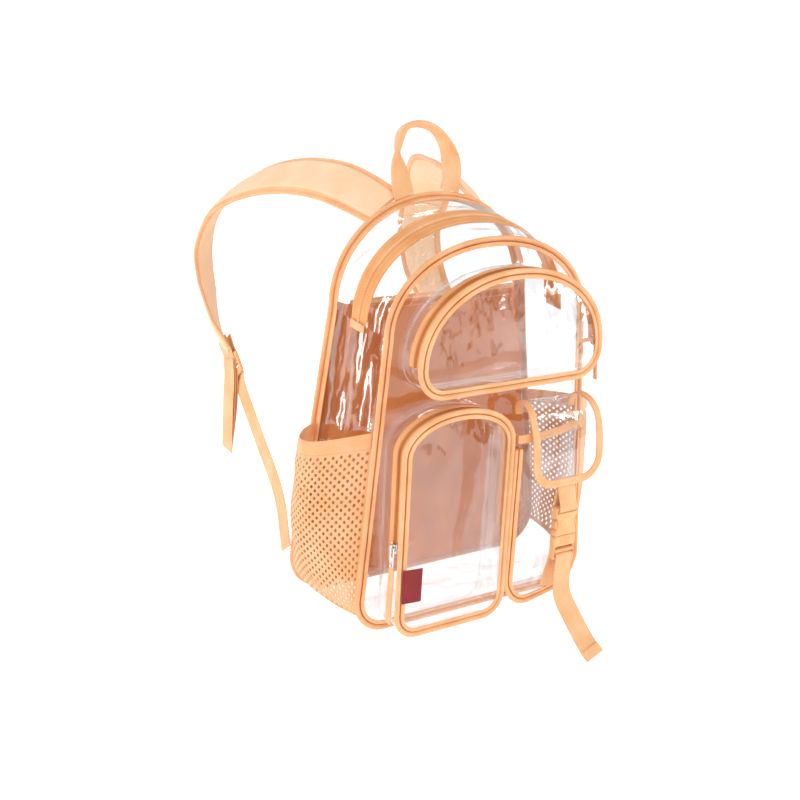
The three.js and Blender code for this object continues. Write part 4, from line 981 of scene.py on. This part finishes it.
def build_flap():
    narrow = BINDING - 1.5
    down = np.linspace(0, FLAP_LENGTH - narrow, 70)[:, None]
    into = np.maximum(0, down - (FLAP_LENGTH - FLAP_CORNER))
    turn = np.sqrt(np.maximum(0, (FLAP_CORNER - narrow) ** 2 - into ** 2))
    half = np.where(into > 0, FLAP_HALF - FLAP_CORNER + turn, flap_half(down) - narrow)
    q = np.linspace(-1, 1, 40)[None, :]
    x = q * half
    slack = 0.5 * (1 - q ** 6) * waves(x, down + 0 * x, 51, 30.0, 80.0)
    sheet = Shape()
    wall(sheet, *(flap_point(x, down + 0 * x, lift + slack) for lift in (0.3, -0.3)))
    sheet.build("flap", "sheet", "clear_vinyl")

    straight, inner = FLAP_LENGTH - FLAP_CORNER, FLAP_HALF - FLAP_CORNER
    edge = [(float(flap_half(d)), d, 1.0, 0.0) for d in np.linspace(0, straight, 44, endpoint=False)]
    for a in np.linspace(0, math.pi / 2, 24):
        c, s = math.cos(a), math.sin(a)
        edge.append((inner + FLAP_CORNER * c, straight + FLAP_CORNER * s, c, s))
    edge += [(lerp(inner, 0.0, t), FLAP_LENGTH, 0.0, 1.0) for t in np.linspace(0, 1, 8)[1:-1]]
    x, down, out_x, out_down = np.array(edge + [(-a, b, -c, d) for a, b, c, d in edge[::-1]]).T

    def inside(inward, lift):
        return flap_point(x - inward * out_x, down - inward * out_down, lift)

    section = [(0.15, 0.7), (0.7, 1.15), (2.0, 1.3), (5.0, 1.2), (8.0, 1.15), (8.9, 0.9)]
    section += [(inward, -lift) for inward, lift in section[::-1]] + [(0.0, 0.0)]
    bound = Shape()
    tube(bound, np.stack([inside(*corner) for corner in section], 1))
    for inward in (2.4, 7.2):
        stitches(bound, inside(inward, 1.15), inside(inward, 2.15))
    bound.build("flap_binding", "bound", "peach_trim", ("thread",))


# Buckle and closing webbing
BUCKLE_X = RIGHT_CENTRE + 6.0
BUCKLE_Y = -(FLAP_FOOT + FLAP_REACH - 2)
BUCKLE_TOP = 120.0
BUCKLE_HALF = 15.0
BUCKLE_WALL = 9.0
BUCKLE_LENGTH = 62.0
FORK = 0.55 * BUCKLE_LENGTH
CLOSING = 24.0
TAIL_OUT = 46.0
TAIL_DROP = 108.0
TAIL_ASIDE = 23.0


def build_buckle():
    w = BUCKLE_HALF
    foot = np.array([BUCKLE_X, BUCKLE_Y, BUCKLE_TOP - FORK])
    lower_foot = foot - Z_AXIS * GAP
    front = -Y_AXIS * BUCKLE_WALL / 2

    def facing(shape, rings, thick, bevel, place):
        plate(shape, rings, thick, bevel, place, X_AXIS, Z_AXIS, -Y_AXIS)

    upper = Shape()
    half = [(-w, 0), (-w, 5.5), (-w + 3, 8), (-w + 3, 20), (-w, 23), (-w, FORK)]
    outline = rounded(half + [(-x, y) for x, y in half[::-1]], 2.2)
    facing(upper, [outline, box_ring(0, FORK - 5.7, CLOSING + 1, SLOT)], BUCKLE_WALL, 1.6, foot)
    facing(upper, [[(0.62 * w * c, 13.5 + 9.0 * s) for c, s in circle(40)]], 1.2, 0.55, foot + front)
    upper.build("buckle_upper", "moulded", "peach_plastic")

    lower = Shape()
    body = BUCKLE_LENGTH - FORK - GAP
    outline = rounded([(-w, -body), (w, -body), (w, 0), (-w, 0)], 2.4)
    slots = [box_ring(0, -body + n * 4 + (n - 0.5) * SLOT, CLOSING + 1, SLOT) for n in (1, 2)]
    facing(lower, [outline, *slots], BUCKLE_WALL, 1.6, lower_foot)
    for side in (-1, 1):
        button = [(w - 2.7, 8.8), (w - 0.2, 10.2), (w - 0.2, 17.8), (w - 2.7, 19.2)]
        facing(lower, [rounded([(side * x, y) for x, y in button], 1.4)], 7.0, 1.0, lower_foot)
    for step in range(5):
        facing(lower, [box_ring(0, -1.8 - step * 2.0, 16, 0.9, 0.4)], 0.8, 0.3, lower_foot + front)
    lower.build("buckle_lower", "moulded", "peach_plastic")


def build_closing_webbing():
    def row(y, z, x=BUCKLE_X, face=(0, -1, 0)):
        return ((x, y, z), face, CLOSING, WEBBING)

    behind = 2.1 + 2 * GAP - (FLAP_FOOT + FLAP_REACH)
    tip = FLAP_TOP - FLAP_DROP
    near, far = (BUCKLE_Y + side * (BUCKLE_WALL / 2 + 1.0) for side in (-1, 1))
    front = Band([row(behind, tip + BINDING), row(behind, tip - 3), row(near, 121), row(near, 117)], 60)
    rear = Band([row(behind + 2, tip + BINDING - 2), row(behind + 2, tip - 5), row(far, 121),
                 row(far, 117)], 60)
    turn = Band([row(near, 117.2), row(BUCKLE_Y - 2.6, 114, face=(0, -0.4, -1)),
                 row(BUCKLE_Y + 2.6, 114, face=(0, 0.4, -1)), row(far, 117.2, face=(0, 1, 0))], 24)
    loop = Shape()
    for band in (front, rear, turn):
        webbing(loop, band)
    sewn_box(loop, front, 0.36, 0.56, 0.8)
    loop.build("flap_strap", "webbing", "peach_webbing", ("thread",))

    low_z, lean = 18.0, 4.0
    face_y = -(float(right_sheet.depth(BUCKLE_X - lean, low_z)) + VINYL + WEBBING)
    foot = BUCKLE_TOP - BUCKLE_LENGTH
    down = Band([row(far, 71.5), row(far + 0.1, 66.0),
                 row((BUCKLE_Y + face_y) / 2 + lean, (foot + low_z) / 2, BUCKLE_X - lean / 4),
                 row(face_y - 2.7, low_z, BUCKLE_X - lean)], 80)
    lower = Shape()
    webbing(lower, down)
    sewn_box(lower, down, 0.80, 0.98, 0.8)
    lower.build("lower_strap", "webbing", "peach_webbing", ("thread",))

    def falling(out, drop, proud=0.0):
        return row(BUCKLE_Y - out * TAIL_OUT - proud, foot - 2 * GAP - drop * TAIL_DROP, BUCKLE_X + out * TAIL_ASIDE)

    rows = [row(BUCKLE_Y - 1.0, 64.4), row(near + 0.6, 62.6), row(near, 59.5)]
    rows += [falling(*at) for at in ((0.06, 0.16), (0.10, 0.40), (0.40, 0.64), (0.80, 0.90), (1, 1))]
    hem = Band([falling(*at, 1.8) for at in ((0.84, 0.922), (0.92, 0.96), (1, 1))], 30)
    tail = Shape()
    webbing(tail, Band(rows, 160))
    webbing(tail, hem)
    sewn_box(tail, hem, 0.12, 0.88, 0.8)
    tail.build("strap_tail", "webbing", "peach_webbing", ("thread",))


# Side mesh pockets
MESH_TOP = (200.0, 221.0)
MESH_LOW = (32.0, 16.0)
MESH_BAND = 14.0
MESH_PITCH = 8.4


def mesh_place(side, height, share, inset):
    low = lerp(MESH_LOW[0], MESH_LOW[1], share)
    high = lerp(MESH_TOP[0], MESH_TOP[1], share) - 8 * np.sin(math.pi * share)
    z = lerp(low, high, height)
    half = lerp(back_outline.half_width(z), front_outline.half_width(z), share)
    bulge = GUSSET_BULGE * 4 * share * (1 - share)
    fill = np.minimum(1, 0.1 + 0.9 * np.sin(np.minimum(1, height / 0.75) * math.pi / 2) ** 0.7)
    arc = np.maximum(0, np.sin(math.pi * share)) ** 0.65
    folds = 1.6 * arc * fill * waves(share * 113 + z * 0.6, z, 61, 45.0, 120.0)
    folds = folds * (1 - np.clip((height - 0.85) / 0.15, 0, 1))
    stand = bulge + GAP + 40 * fill * arc + 2.0 + 3 * GAP - inset + folds
    rear, front = PIPING_R + 1, BAG_DEPTH - PIPING_R - 1
    return np.stack([side * (half + stand), -lerp(rear, front, share), z], -1)


def mesh_shares():
    share = np.linspace(0, 1, 400)
    run = distances(mesh_place(1, np.full(400, 0.55), share, 0))
    return run / run[-1], share, run[-1]


def build_mesh_pocket(name, side):
    """The net, cut as eight-sided cells round its holes, its cords, and the bound top band."""
    runs, shares, arc = mesh_shares()
    across = round(arc / MESH_PITCH)
    tall = MESH_TOP[0] - MESH_LOW[0]
    top = 1 - MESH_BAND / tall
    rise = round((tall - MESH_BAND + 18) / MESH_PITCH)
    cell = [(0.5, 0), (0.25, 0.25), (0, 0.5), (-0.25, 0.25), (-0.5, 0), (-0.25, -0.25), (0, -0.5),
            (0.25, -0.25)]
    hole = [(0.21 * c, 0.235 * s) for c, s in circle(8)]
    flat, faces, index, edges = [], [], {}, {}

    def point(u, v):
        key = (round(u, 4), round(v, 4))
        if key not in index:
            index[key] = len(flat)
            flat.append(key)
        return index[key]

    for double_v in range(2 * rise + 1):
        for double_u in range(double_v % 2, 2 * across + 1, 2):
            u, v = double_u / 2, double_v / 2
            ring = [(u + a, v + b) for a, b in cell]
            if double_u in (0, 2 * across) or double_v in (0, 2 * rise):
                kept = [(a, b) for a, b in ring if -1e-6 <= a <= across + 1e-6 and -1e-6 <= b <= rise + 1e-6]
                centre = np.mean(kept, axis=0)
                kept.append((u, v))
                kept.sort(key=lambda p: math.atan2(p[1] - centre[1], p[0] - centre[0]))
                faces.append([point(*p) for p in kept])
                continue
            outer = [point(*p) for p in ring]
            inner = [point(u + a, v + b) for a, b in hole]
            for k in range(8):
                after = (k + 1) % 8
                faces.append([outer[k], outer[after], inner[after], inner[k]])
    for face in faces:
        for a, b in zip(face, face[1:] + face[:1]):
            key = (min(a, b), max(a, b))
            edges[key] = edges.get(key, 0) + 1
    flat = np.array(flat)
    size = len(flat)
    sides = [[a, b, b + size, a + size] for (a, b), used in edges.items() if used == 1]
    reach = np.interp(np.clip(flat[:, 0] / across, 0, 1), runs, shares)
    net = [mesh_place(side, np.clip(flat[:, 1] / rise, 0, 1) * top, reach, inset) for inset in (0.55, 1.45)]
    shape = Shape()
    shape.add(np.vstack(net), faces + [[k + size for k in face] for face in faces] + sides)

    def cord(line, wide, tall_axis):
        ring = [line + wide * c * X_AXIS + 1.8 * s * tall_axis for c, s in circle(10)]
        tube(shape, np.stack(ring, 1), material=1)

    for share in (0.0, 1.0):
        cord(mesh_place(side, np.linspace(0, 1, 60) * top, np.full(60, share), 0.4), 1.5, Y_AXIS)
    cord(mesh_place(side, np.zeros(90), np.linspace(0, 1, 90), 0.6), 1.4 * side, Z_AXIS)
    shape.build(name + "_mesh_pocket", "net", "peach_mesh", ("peach_trim",), smooth=60.0)

    way = np.linspace(0, 1, 150)
    share = np.interp(way, runs, shares)[:, None]
    gather = 0.35 * np.sin(way * arc * 1.9)[:, None]
    height = np.linspace(top + 0.001, 1.0, 9)[None, :]
    roll = np.sqrt(np.clip(1 - np.abs(np.linspace(-1, 1, 9)) ** 6, 0.05, 1))[None, :]
    puff = roll + gather * (roll - 0.2) * 0.5
    bound = Shape()
    wall(bound, *(mesh_place(side, height + 0 * share, share + 0 * height, 1.0 + puff * turn)
                  for turn in (-1, 1)))
    for v in (0.22, 0.78):
        level = np.full(150, lerp(top, 1.0, v))
        stitches(bound, *(mesh_place(side, level, share[:, 0], inset) for inset in (-0.05, -1.05)))
    bound.build(name + "_mesh_band", "bound", "peach_trim", ("thread",))


# Grab handle: share across, share of the rise, lean and grip
HANDLE_X = -10.0
HANDLE_HALF = 30.0
HANDLE_RISE = 69.0
HANDLE = [(-.96, 0, 0, 0), (-1.07, .16, .03, 0), (-1.12, .38, .22, .2), (-1.04, .67, .52, .7),
          (-.66, .93, .88, 1), (0, 1, 1, 1), (.66, .92, .88, 1), (1.08, .65, .52, .7),
          (1.16, .36, .22, .2), (1.09, .16, .03, 0), (1, 0, 0, 0)]


def seam_top(x):
    return back_outline.height(x) + REACH + 2 * GAP


def build_handle():
    middle = np.array([HANDLE_X, VINYL, seam_top(0)])
    apex = seam_top(0) + HANDLE_RISE
    rows, grips = [], []
    for across, up, lean, grip in HANDLE:
        foot = seam_top(HANDLE_X + np.sign(across) * HANDLE_HALF)
        place = np.array([HANDLE_X + across * HANDLE_HALF, VINYL + lean * 24.0, lerp(foot, apex, up)])
        face = Y_AXIS * (1 - grip) + unit(place - middle) * grip
        rows.append((place, face, lerp(25.0, 15.0, grip), lerp(3.2, 7.0, grip)))
        grips.append([grip])
    band = Band(rows, 200)
    grip = spread(np.array(grips, float), np.linspace(0, 1, 201))
    q = np.linspace(-0.5, 0.5, 41)[None, :]
    power = lerp(14.0, 3.2, grip)
    edge = np.clip(1 - np.abs(2 * q) ** power, 0.0004, 1) ** (1 / power)
    rib = 0.22 * (1 - np.abs(np.sin(math.pi * RIBS * (q + 0.5))) ** 0.7)
    shape = Shape()
    tube(shape, band.rings(q[0], band.height[:, None] / 2 * edge - rib))
    for start, end in ((0.0, 0.075), (0.925, 1.0)):
        band.both_faces(shape, (-0.38, 0.38), 1.55, start, end, SEWN_PITCH)
    for level in (-0.18, 0.18):
        band.stitches(shape, level, -3.35, 0.30, 0.70, 3.2)
    shape.build("grab_handle", "webbing", "peach_webbing", ("thread",))


# Shoulder straps: shares of the reach out, back and down, of the width and pad, and the face direction
STRAP = [
    (0.00, 0.000, 0.000, 0.84, 0.55, (-0.69, 0.00, 0.94)),
    (0.11, 0.173, 0.056, 0.93, 1.00, (-0.69, 0.00, 0.94)),
    (0.22, 0.345, 0.085, 1.00, 1.00, (-0.69, 0.05, 0.94)),
    (0.41, 0.566, 0.065, 1.00, 1.00, (-0.75, 0.15, 0.92)),
    (0.64, 0.739, -0.010, 1.00, 1.00, (-0.83, 0.45, 0.80)),
    (0.90, 0.900, -0.172, 0.97, 1.00, (-0.83, 0.80, 0.45)),
    (0.98, 1.000, -0.414, 0.92, 1.00, (-0.88, 0.90, 0.10)),
    (1.00, 0.948, -0.667, 0.86, 1.00, (-0.75, 0.80, -0.10)),
    (1.04, 0.811, -0.874, 0.72, 0.90, (-0.80, 0.60, -0.20)),
    (1.04, 0.663, -1.000, 0.55, 0.60, (-0.92, 0.35, -0.20)),
]
STRAP_SEAT = 61.0
STRAP_OUT = 95.0
STRAP_REACH = 249.0
STRAP_FALL = 198.0
STRAP_WIDTH = 63.0
STRAP_PAD = 9.0
STRAP_WEBBING = 25.0
ADJUSTER_HALF = 13.0
strap_seat_z = back_outline.height(STRAP_SEAT) + PIPING_CENTRE
strap_seat_y = VINYL + PIPING_R + 5 * GAP


def build_strap(name, side):
    """A padded strap with its adjuster, its lower and loose webbing, and the clear wing that anchors it."""
    rows = []
    for out, fore, up, wide, pad, face in STRAP:
        place = np.array([side * (STRAP_SEAT + out * STRAP_OUT), strap_seat_y + fore * STRAP_REACH,
                          strap_seat_z + up * STRAP_FALL])
        turned = (-side * face[0], face[1], face[2])
        rows.append((place, turned, wide * STRAP_WIDTH, max(3.0, pad * STRAP_PAD)))
    band = Band(rows, 240)
    edge = np.linspace(0.38, 0.5, 10)
    q = np.concatenate([-edge[::-1], np.linspace(-0.36, 0.36, 31), edge])
    inset = band.width[:, None] * (0.5 - np.abs(q)[None, :])
    roll = 1.75 * np.sqrt(np.clip(1 - (1 - np.clip(inset / 1.9, 0, 1)) ** 2, 0.001, 1))
    groove = 0.75 * np.exp(-((inset - 6.2) / 0.7) ** 2)
    swell = np.clip((inset - 6.2) / 8.0, 0, 1)
    pad = np.maximum(0, band.height[:, None] / 2 - 1.6) * (1 - (1 - swell) ** 2)
    crease = 0.28 * swell * waves(band.run[:, None] + 0 * q, q * band.width[:, None], 71 + side, 14.0, 60.0)
    rings = band.rings(q, roll + pad - groove + crease, -(roll + pad * 0.95 - groove) + crease * 0.5)
    shape = Shape()
    tube(shape, rings)
    columns = rings.shape[1]
    for k, corners in enumerate(shape.faces):
        column = min(k % columns, columns - 1 - k % columns)
        if len(corners) == 4 and not 10 <= column < len(q) - 10:
            shape.materials[k] = 2
    band.both_faces(shape, [level * (0.5 - 4.6 / band.width) for level in (-1, 1)], 1.8)

    end = rows[-1][0]
    wing_tip = np.array([side * (float(back_outline.half_width(100.0)) + 2), 46.0, 100.0])
    along = unit(wing_tip - end)
    face = unit(side * X_AXIS - side * along[0] * along)
    across = unit(np.cross(along, face))
    adjuster = end + along * (ADJUSTER_HALF + 2.4)

    def near(a, f):
        return adjuster + a * along + f * face

    def row(place, turned=face):
        return (place, turned, STRAP_WEBBING, WEBBING)

    for level, bar in ((2.4, 2.9), (-2.4, -2.9)):
        webbing(shape, Band([row(end - along * 22 + face * level * 1.35), row(end - along * 6 + face * level),
                             row(near(-11.5, bar)), row(near(-6.6, bar))], 40), 3)
    webbing(shape, Band([row(near(-6.8, 2.9)), row(near(-3.9, 1.3), face + along),
                         row(near(-3.9, -1.3), along - face), row(near(-6.8, -2.9), -face)], 20), 3)
    extra = ("thread", "peach_trim", "peach_webbing")
    piece = shape.build(name + "_strap_pad", "sewn", "peach_fabric", extra, smooth=50.0)

    buckle = Shape()
    outline = rounded([(-16.5, -ADJUSTER_HALF), (16.5, -ADJUSTER_HALF), (16.5, ADJUSTER_HALF),
                       (-16.5, ADJUSTER_HALF)], 3.0)
    slots = [box_ring(0, s * 3.7, STRAP_WEBBING + 1, SLOT) for s in (1, -1)]
    plate(buckle, [outline, *slots], 4.0, 1.2, adjuster, across, along, face)
    plate(buckle, [box_ring(0, 0, 24.0, 2.0, 0.9)], 5.0, 0.6, adjuster, across, along, face)
    buckle.build(name + "_adjuster", "moulded", "peach_plastic")

    start = near(ADJUSTER_HALF + 2 * GAP, 0)
    seam_end = np.array([side * (float(back_outline.half_width(44.0)) + REACH), 8.0, 52.0])
    tip = wing_tip + face * (WEBBING + VINYL)
    places = (near(3.8, -1.0), near(6.2, -2.9), near(12.5, -2.7), start + along * 8,
              lerp(start, tip, 0.5), tip, seam_end + face)
    line = Band([row(place) for place in places], 160)
    lower = Shape()
    webbing(lower, line)
    sewn_box(lower, line, 0.60, 0.70, 0.8)
    sewn_box(lower, line, 0.92, 0.985, 0.8)
    lower.build(name + "_lower_webbing", "woven", "peach_webbing", ("thread",))

    hang = adjuster + face * (2.0 + GAP + WEBBING)
    loose = Shape()
    for offset in (1.3, -0.1, -1.5):
        rows = []
        for down, fore in ((-0.08, 6), (0.1, 1), (0.4, 2), (0.75, 6), (1, 9)):
            proud = offset * (1 + 1.5 * math.sin(math.pi * min(1, down + 0.08)))
            drop = np.array([0, fore - offset * (0.2 + 1.6 * down), -down * 105.0 * (1 - 0.03 * abs(offset))])
            rows.append((hang + drop + face * proud, face, STRAP_WEBBING, 1.3))
        layer = Band(rows, 100)
        webbing(loose, layer)
        if offset > 0:
            sewn_box(loose, layer, 0.84, 0.97, 0.7)
    loose.build(name + "_loose_webbing", "woven", "peach_webbing", ("thread",))
    build_wing(name, side, wing_tip, face)


def build_wing(name, side, tip, face):
    """The clear triangle between the back seam and the lower webbing."""
    top, low = (np.array([side * (float(back_outline.half_width(z)) + PIPING_CENTRE), PIPING_R + 2, z])
                for z in (128.0, 44.0))
    down = np.linspace(0, 1, 24)[:, None, None]
    out = np.linspace(0, 1, 24)[None, :, None]
    middle = lerp(top, low, down)
    grid = lerp(middle, tip + (middle - lerp(top, low, 0.35)) * 0.04, out)
    slack = 0.5 * np.sin(math.pi * out) * np.sin(2 * math.pi * down)
    shape = Shape()
    wall(shape, grid + face * (0.3 + slack), grid + face * (-0.3 + slack))
    for share in (0.06, 0.12):
        line = grid[:, int(share * 24)] + face * 0.35
        stitches(shape, line, line + face)
    shape.build(name + "_wing", "sheet", "clear_vinyl", ("thread",))


# Zip pulls and small pieces
SLIDER_X = left_outline.points[:, 0].min() - COIL - GAP
SLIDER_Y = -(LEFT_RIM - POCKET_ZIP / 2 + 1)
SLIDER_THICK = 3.5
HINGE_X = SLIDER_X - SLIDER_THICK - 1.5
HINGE_Z = 106.0
PULLER_LENGTH = 24.0
LABEL_Z = 65.0
LABEL_TALL = 38.0
LABEL_WIDE = 22.0
FLOOR_Z = -0.52


def slider(shape, middle, axes, leaf=1.47, apart=0.875, neck=3.15, notch=3.6):
    """A zip slider's body: two waisted leaves joined by a neck."""
    half = [(-1.2, notch), (-5, 6), (-5, 1), (-3.4, -6)]
    outline = rounded(half[1:] + [(-x, y) for x, y in half[::-1]] + half[:1], 1.6)
    for side in (-1, 1):
        plate(shape, [outline], leaf, 0.45, middle + side * apart * axes[2], *axes)
    plate(shape, [box_ring(0, 0, 4, 6, 1.0)], neck, 0.3, middle, *axes)


def build_left_puller():
    shape = Shape()
    foot = np.array([SLIDER_X - SLIDER_THICK, SLIDER_Y, HINGE_Z])
    slider(shape, foot + X_AXIS * SLIDER_THICK / 2, (Y_AXIS, Z_AXIS, X_AXIS))
    arch = [(0.3, 4.0), (-2.2, 4.0), (-3.6, 2.6), (-3.7, 0), (-3.6, -2.6), (-2.2, -4.0), (0.3, -4.0)]
    Band([(foot + np.array([x, 0, z]), (0, 1, 0), 1.4, 3.0) for x, z in arch], 40).tape(shape, 9, 4, 0.25)
    shape.build("left_pocket_slider", "cast", "chrome")

    puller = Shape()
    top, bottom = 0.9, 0.9 - PULLER_LENGTH
    outline = rounded([(-4, top), (-3.2, bottom), (3.2, bottom), (4, top)], 1.6)
    holes = [box_ring(0, -0.9 - 0.18 * PULLER_LENGTH, 4.2, 0.36 * PULLER_LENGTH, 1.4),
             box_ring(0, bottom + 4.2, 4.6, 2.4, 1.0)]
    plate(puller, [outline, *holes], 1.6, 0.6, (HINGE_X, SLIDER_Y, HINGE_Z), Y_AXIS, Z_AXIS, X_AXIS)
    puller.build("left_pocket_puller", "cast", "chrome", body=PULLER_BODY)

    tab = Shape()
    band = Band([((HINGE_X - out, SLIDER_Y, HINGE_Z + bottom - GAP - share * 62.0), (-1, 0, 0),
                  lerp(8.0, 10.0, min(1, share * 5)), 2.0)
                 for share, out in ((-0.04, 0), (0, 0), (0.2, 0), (0.6, 1), (1, 1))], 90)
    band.tape(tab, 19, 8, 0.5)
    band.both_faces(tab, (-0.36, 0.36), 0.95, 0.04, 0.97, SEWN_PITCH)
    tab.build("left_pocket_pull_tab", "sewn", "peach_trim", ("thread",), body=PULLER_BODY)


def build_upper_pull():
    x = float(upper_outline.points[:, 0].max()) + COIL + GAP
    y = -(UPPER_RIM - POCKET_ZIP / 2)
    z = upper_outline.spring + 4
    shape = Shape()
    slider(shape, np.array([x + SLIDER_THICK / 2, y, z]), (Y_AXIS, Z_AXIS, X_AXIS))
    shape.build("upper_pocket_slider", "cast", "chrome")
    pull = Shape()
    band = Band([((x + SLIDER_THICK + GAP + 1.0 + out, y - fore, z + 4 - share * 50.0), (1, 0, 0), 6.0, 2.0)
                 for share, out, fore in ((0, 0, 0), (0.4, 1, 0), (1, 3, 1))], 70)
    band.tape(pull, 15, 8, 0.5)
    band.both_faces(pull, (0.3, -0.3), 0.95, 0.04, 0.97, SEWN_PITCH)
    pull.build("upper_pocket_pull", "sewn", "peach_trim", ("thread",))


def end_tab(name, shell, step, share):
    """A folded tab over a zip's end."""
    at, base, over = (shell.at([step], [share], lift)[0, 0] for lift in (-1.6 - GAP, 0.0, 1.0))
    band = Band([(at - (over - base) * t * 16.0, (0, 0, 1), 10.0, 2.0) for t in (0, 0.5, 1)], 30)
    shape = Shape()
    band.tape(shape, 15, 8, 0.5)
    band.both_faces(shape, (0.3, -0.3), 0.95, 0.1, 0.95, SEWN_PITCH)
    shape.build(name, "folded", "peach_trim", ("thread",))


def build_small_fabric():
    end_tab("upper_pocket_end_tab", upper_shell, SPRING + 1.6, 1 - POCKET_ZIP / UPPER_DEPTH / 2)
    step = ROUND - float(left_outline.side_step(104.0)) - 0.6
    end_tab("left_pocket_end_tab", left_shell, step, 1 - POCKET_ZIP / LEFT_DEPTH / 2)
    z = np.linspace(LABEL_Z - LABEL_TALL / 2, LABEL_Z + LABEL_TALL / 2, 30)[:, None]
    q = np.linspace(-1, 1, 16)[None, :]
    x = left_outline.points[:, 0].min() + (1 + q) * LABEL_WIDE / 2 + 0 * z
    y = -(left_sheet.depth(x, z + 0 * q) + 3.4 + lerp(0.3, 0.0, (q + 1) / 2))
    outer = np.stack([x, y - 0.3 * np.sqrt(1 - (q * 0.98) ** 6) + 0.25 * np.sin(z * 0.12), z + 0 * q], -1)
    label = Shape()
    wall(label, outer, outer + 0.9 * Y_AXIS)
    for column in (14, 1):
        line = outer[2:-2, column] - 0.02 * Y_AXIS
        stitches(label, line, line - Y_AXIS, 2.6, 1.8, 0.4, 0.2, 0)
    label.build("left_pocket_label", "woven", "red_fabric")


def build_main_slider():
    share = (ZIP_START + ZIP_WIDTH / 2) / BAG_DEPTH
    step = SPRING + 0.45 * DOME_STEPS / 8
    place = main_shell.at([step - 0.2, step, step + 0.2], [share], COIL + GAP + 1.75)[:, 0]
    base, over = (main_shell.at([step], [share], lift)[0, 0] for lift in (0.0, 1.0))
    out = unit(over - base)
    across = unit(np.cross(unit(place[2] - place[0]), out))
    shape = Shape()
    slider(shape, place[1], (across, unit(np.cross(out, across)), out), 1.5, 0.9, 3.0, 4.0)
    shape.build("main_zip_slider", "cast", "chrome")


def aimed(item, place, aim, toward):
    """Puts a lamp or card at its place and turns it to face its aim."""
    item.location = place
    item.rotation_euler = (Vector(aim) - Vector(place)).to_track_quat(toward, "Y").to_euler()


# Stage: a plain pale floor, soft lights, and cards that the clear skin mirrors
def stage_plane(name, width, height, place, aim, material, seen=True):
    bpy.ops.mesh.primitive_plane_add(size=1.0)
    plane = bpy.context.object
    plane.name = name
    plane.scale = (width, height, 1.0)
    plane.data.materials.append(material)
    plane.visible_camera = seen
    aimed(plane, place, aim, "Z")


def plain(name, colour, roughness=0.9, glow=0.0):
    n = Nodes(name)
    shader = n.principled(Roughness=roughness, Emission_Strength=glow)
    shader.inputs["Emission Color"].default_value = (1.0, 1.0, 1.0, 1.0)
    drift = n.noise(n.place(), 0.6, 2.0)
    n.link(n.ramp(drift, colour, colour), shader.inputs["Base Color"])
    n.link(shader.outputs[0], n.output.inputs["Surface"])
    return n.material


def area_light(name, power, place, aim, width, height):
    data = bpy.data.lights.new(name, "AREA")
    data.shape = "RECTANGLE"
    data.size, data.size_y = width, height
    data.energy = power
    lamp = bpy.data.objects.new(name, data)
    bpy.context.scene.collection.objects.link(lamp)
    aimed(lamp, place, aim, "-Z")


def build_stage():
    world = bpy.data.worlds.new("world")
    bpy.context.scene.world = world
    world.use_nodes = True
    tree = world.node_tree
    seen = tree.nodes["Background"]
    seen.inputs[0].default_value = (1.0, 1.0, 1.0, 1.0)
    soft = tree.nodes.new("ShaderNodeBackground")
    soft.inputs[0].default_value = (0.97, 0.98, 1.0, 1.0)
    soft.inputs[1].default_value = 0.62
    path = tree.nodes.new("ShaderNodeLightPath")
    mix = tree.nodes.new("ShaderNodeMixShader")
    tree.links.new(path.outputs["Is Camera Ray"], mix.inputs[0])
    tree.links.new(soft.outputs[0], mix.inputs[1])
    tree.links.new(seen.outputs[0], mix.inputs[2])
    tree.links.new(mix.outputs[0], tree.nodes["World Output"].inputs[0])
    pale = plain("floor", (0.9, 0.9, 0.9, 1.0), glow=0.55)
    stage_plane("floor", 300.0, 300.0, (0, 0, FLOOR_Z), (0, 0, 10), pale)
    aim = (0.0, -0.1, -0.15)
    area_light("key", 24.0, (-1.1, -1.9, 1.7), aim, 0.9, 0.9)
    area_light("fill", 9.0, (2.0, -1.6, 0.5), aim, 0.5, 1.8)
    area_light("rim", 14.0, (0.6, 1.9, 1.5), aim, 1.2, 0.8)
    area_light("strip_side", 7.0, (-1.2, 0.5, 0.1), aim, 0.10, 1.3)
    area_light("strip_face", 5.0, (1.15, -1.25, 0.2), aim, 0.08, 1.2)
    dark = plain("card", (0.05, 0.05, 0.055, 1.0))
    for name, width, height, place in (
        ("card_left", 0.5, 2.4, (-2.6, -0.9, 0.3)),
        ("card_right", 0.5, 2.4, (2.2, -2.3, 0.2)),
        ("card_high", 2.4, 0.3, (0.2, -2.2, 2.4)),
        ("card_face_near", 0.10, 1.0, (0.62, -1.75, -0.05)),
        ("card_face_middle", 0.18, 1.0, (0.98, -1.45, -0.05)),
        ("card_face_far", 0.22, 1.0, (1.40, -1.10, -0.05)),
        ("card_side_near", 0.35, 1.0, (-0.95, 0.75, 0.0)),
        ("card_side_far", 0.22, 1.0, (-1.45, 0.25, 0.0)),
        ("card_top_right", 0.9, 0.6, (1.3, 1.9, 0.95)),
        ("card_top_left", 0.4, 0.6, (0.1, 2.1, 1.05)),
    ):
        stage_plane(name, width, height, place, aim, dark, seen=False)


build_main_bag()
build_sleeve()
build_zipped_pocket("upper_pocket", upper_outline, upper_sheet, upper_shell, UPPER_DEPTH, 297.0, 30)
build_zipped_pocket("left_pocket", left_outline, left_sheet, left_shell, LEFT_DEPTH, 104.0, 35)
build_right_pocket()
build_flap()
build_buckle()
build_closing_webbing()
build_mesh_pocket("left", -1)
build_mesh_pocket("right", 1)
build_handle()
build_strap("left", -1)
build_strap("right", 1)
build_left_puller()
build_upper_pull()
build_small_fabric()
build_main_slider()
build_stage()

bpy.context.scene.cycles.transparent_max_bounces = 48
bpy.context.scene.view_settings.view_transform = "Standard"
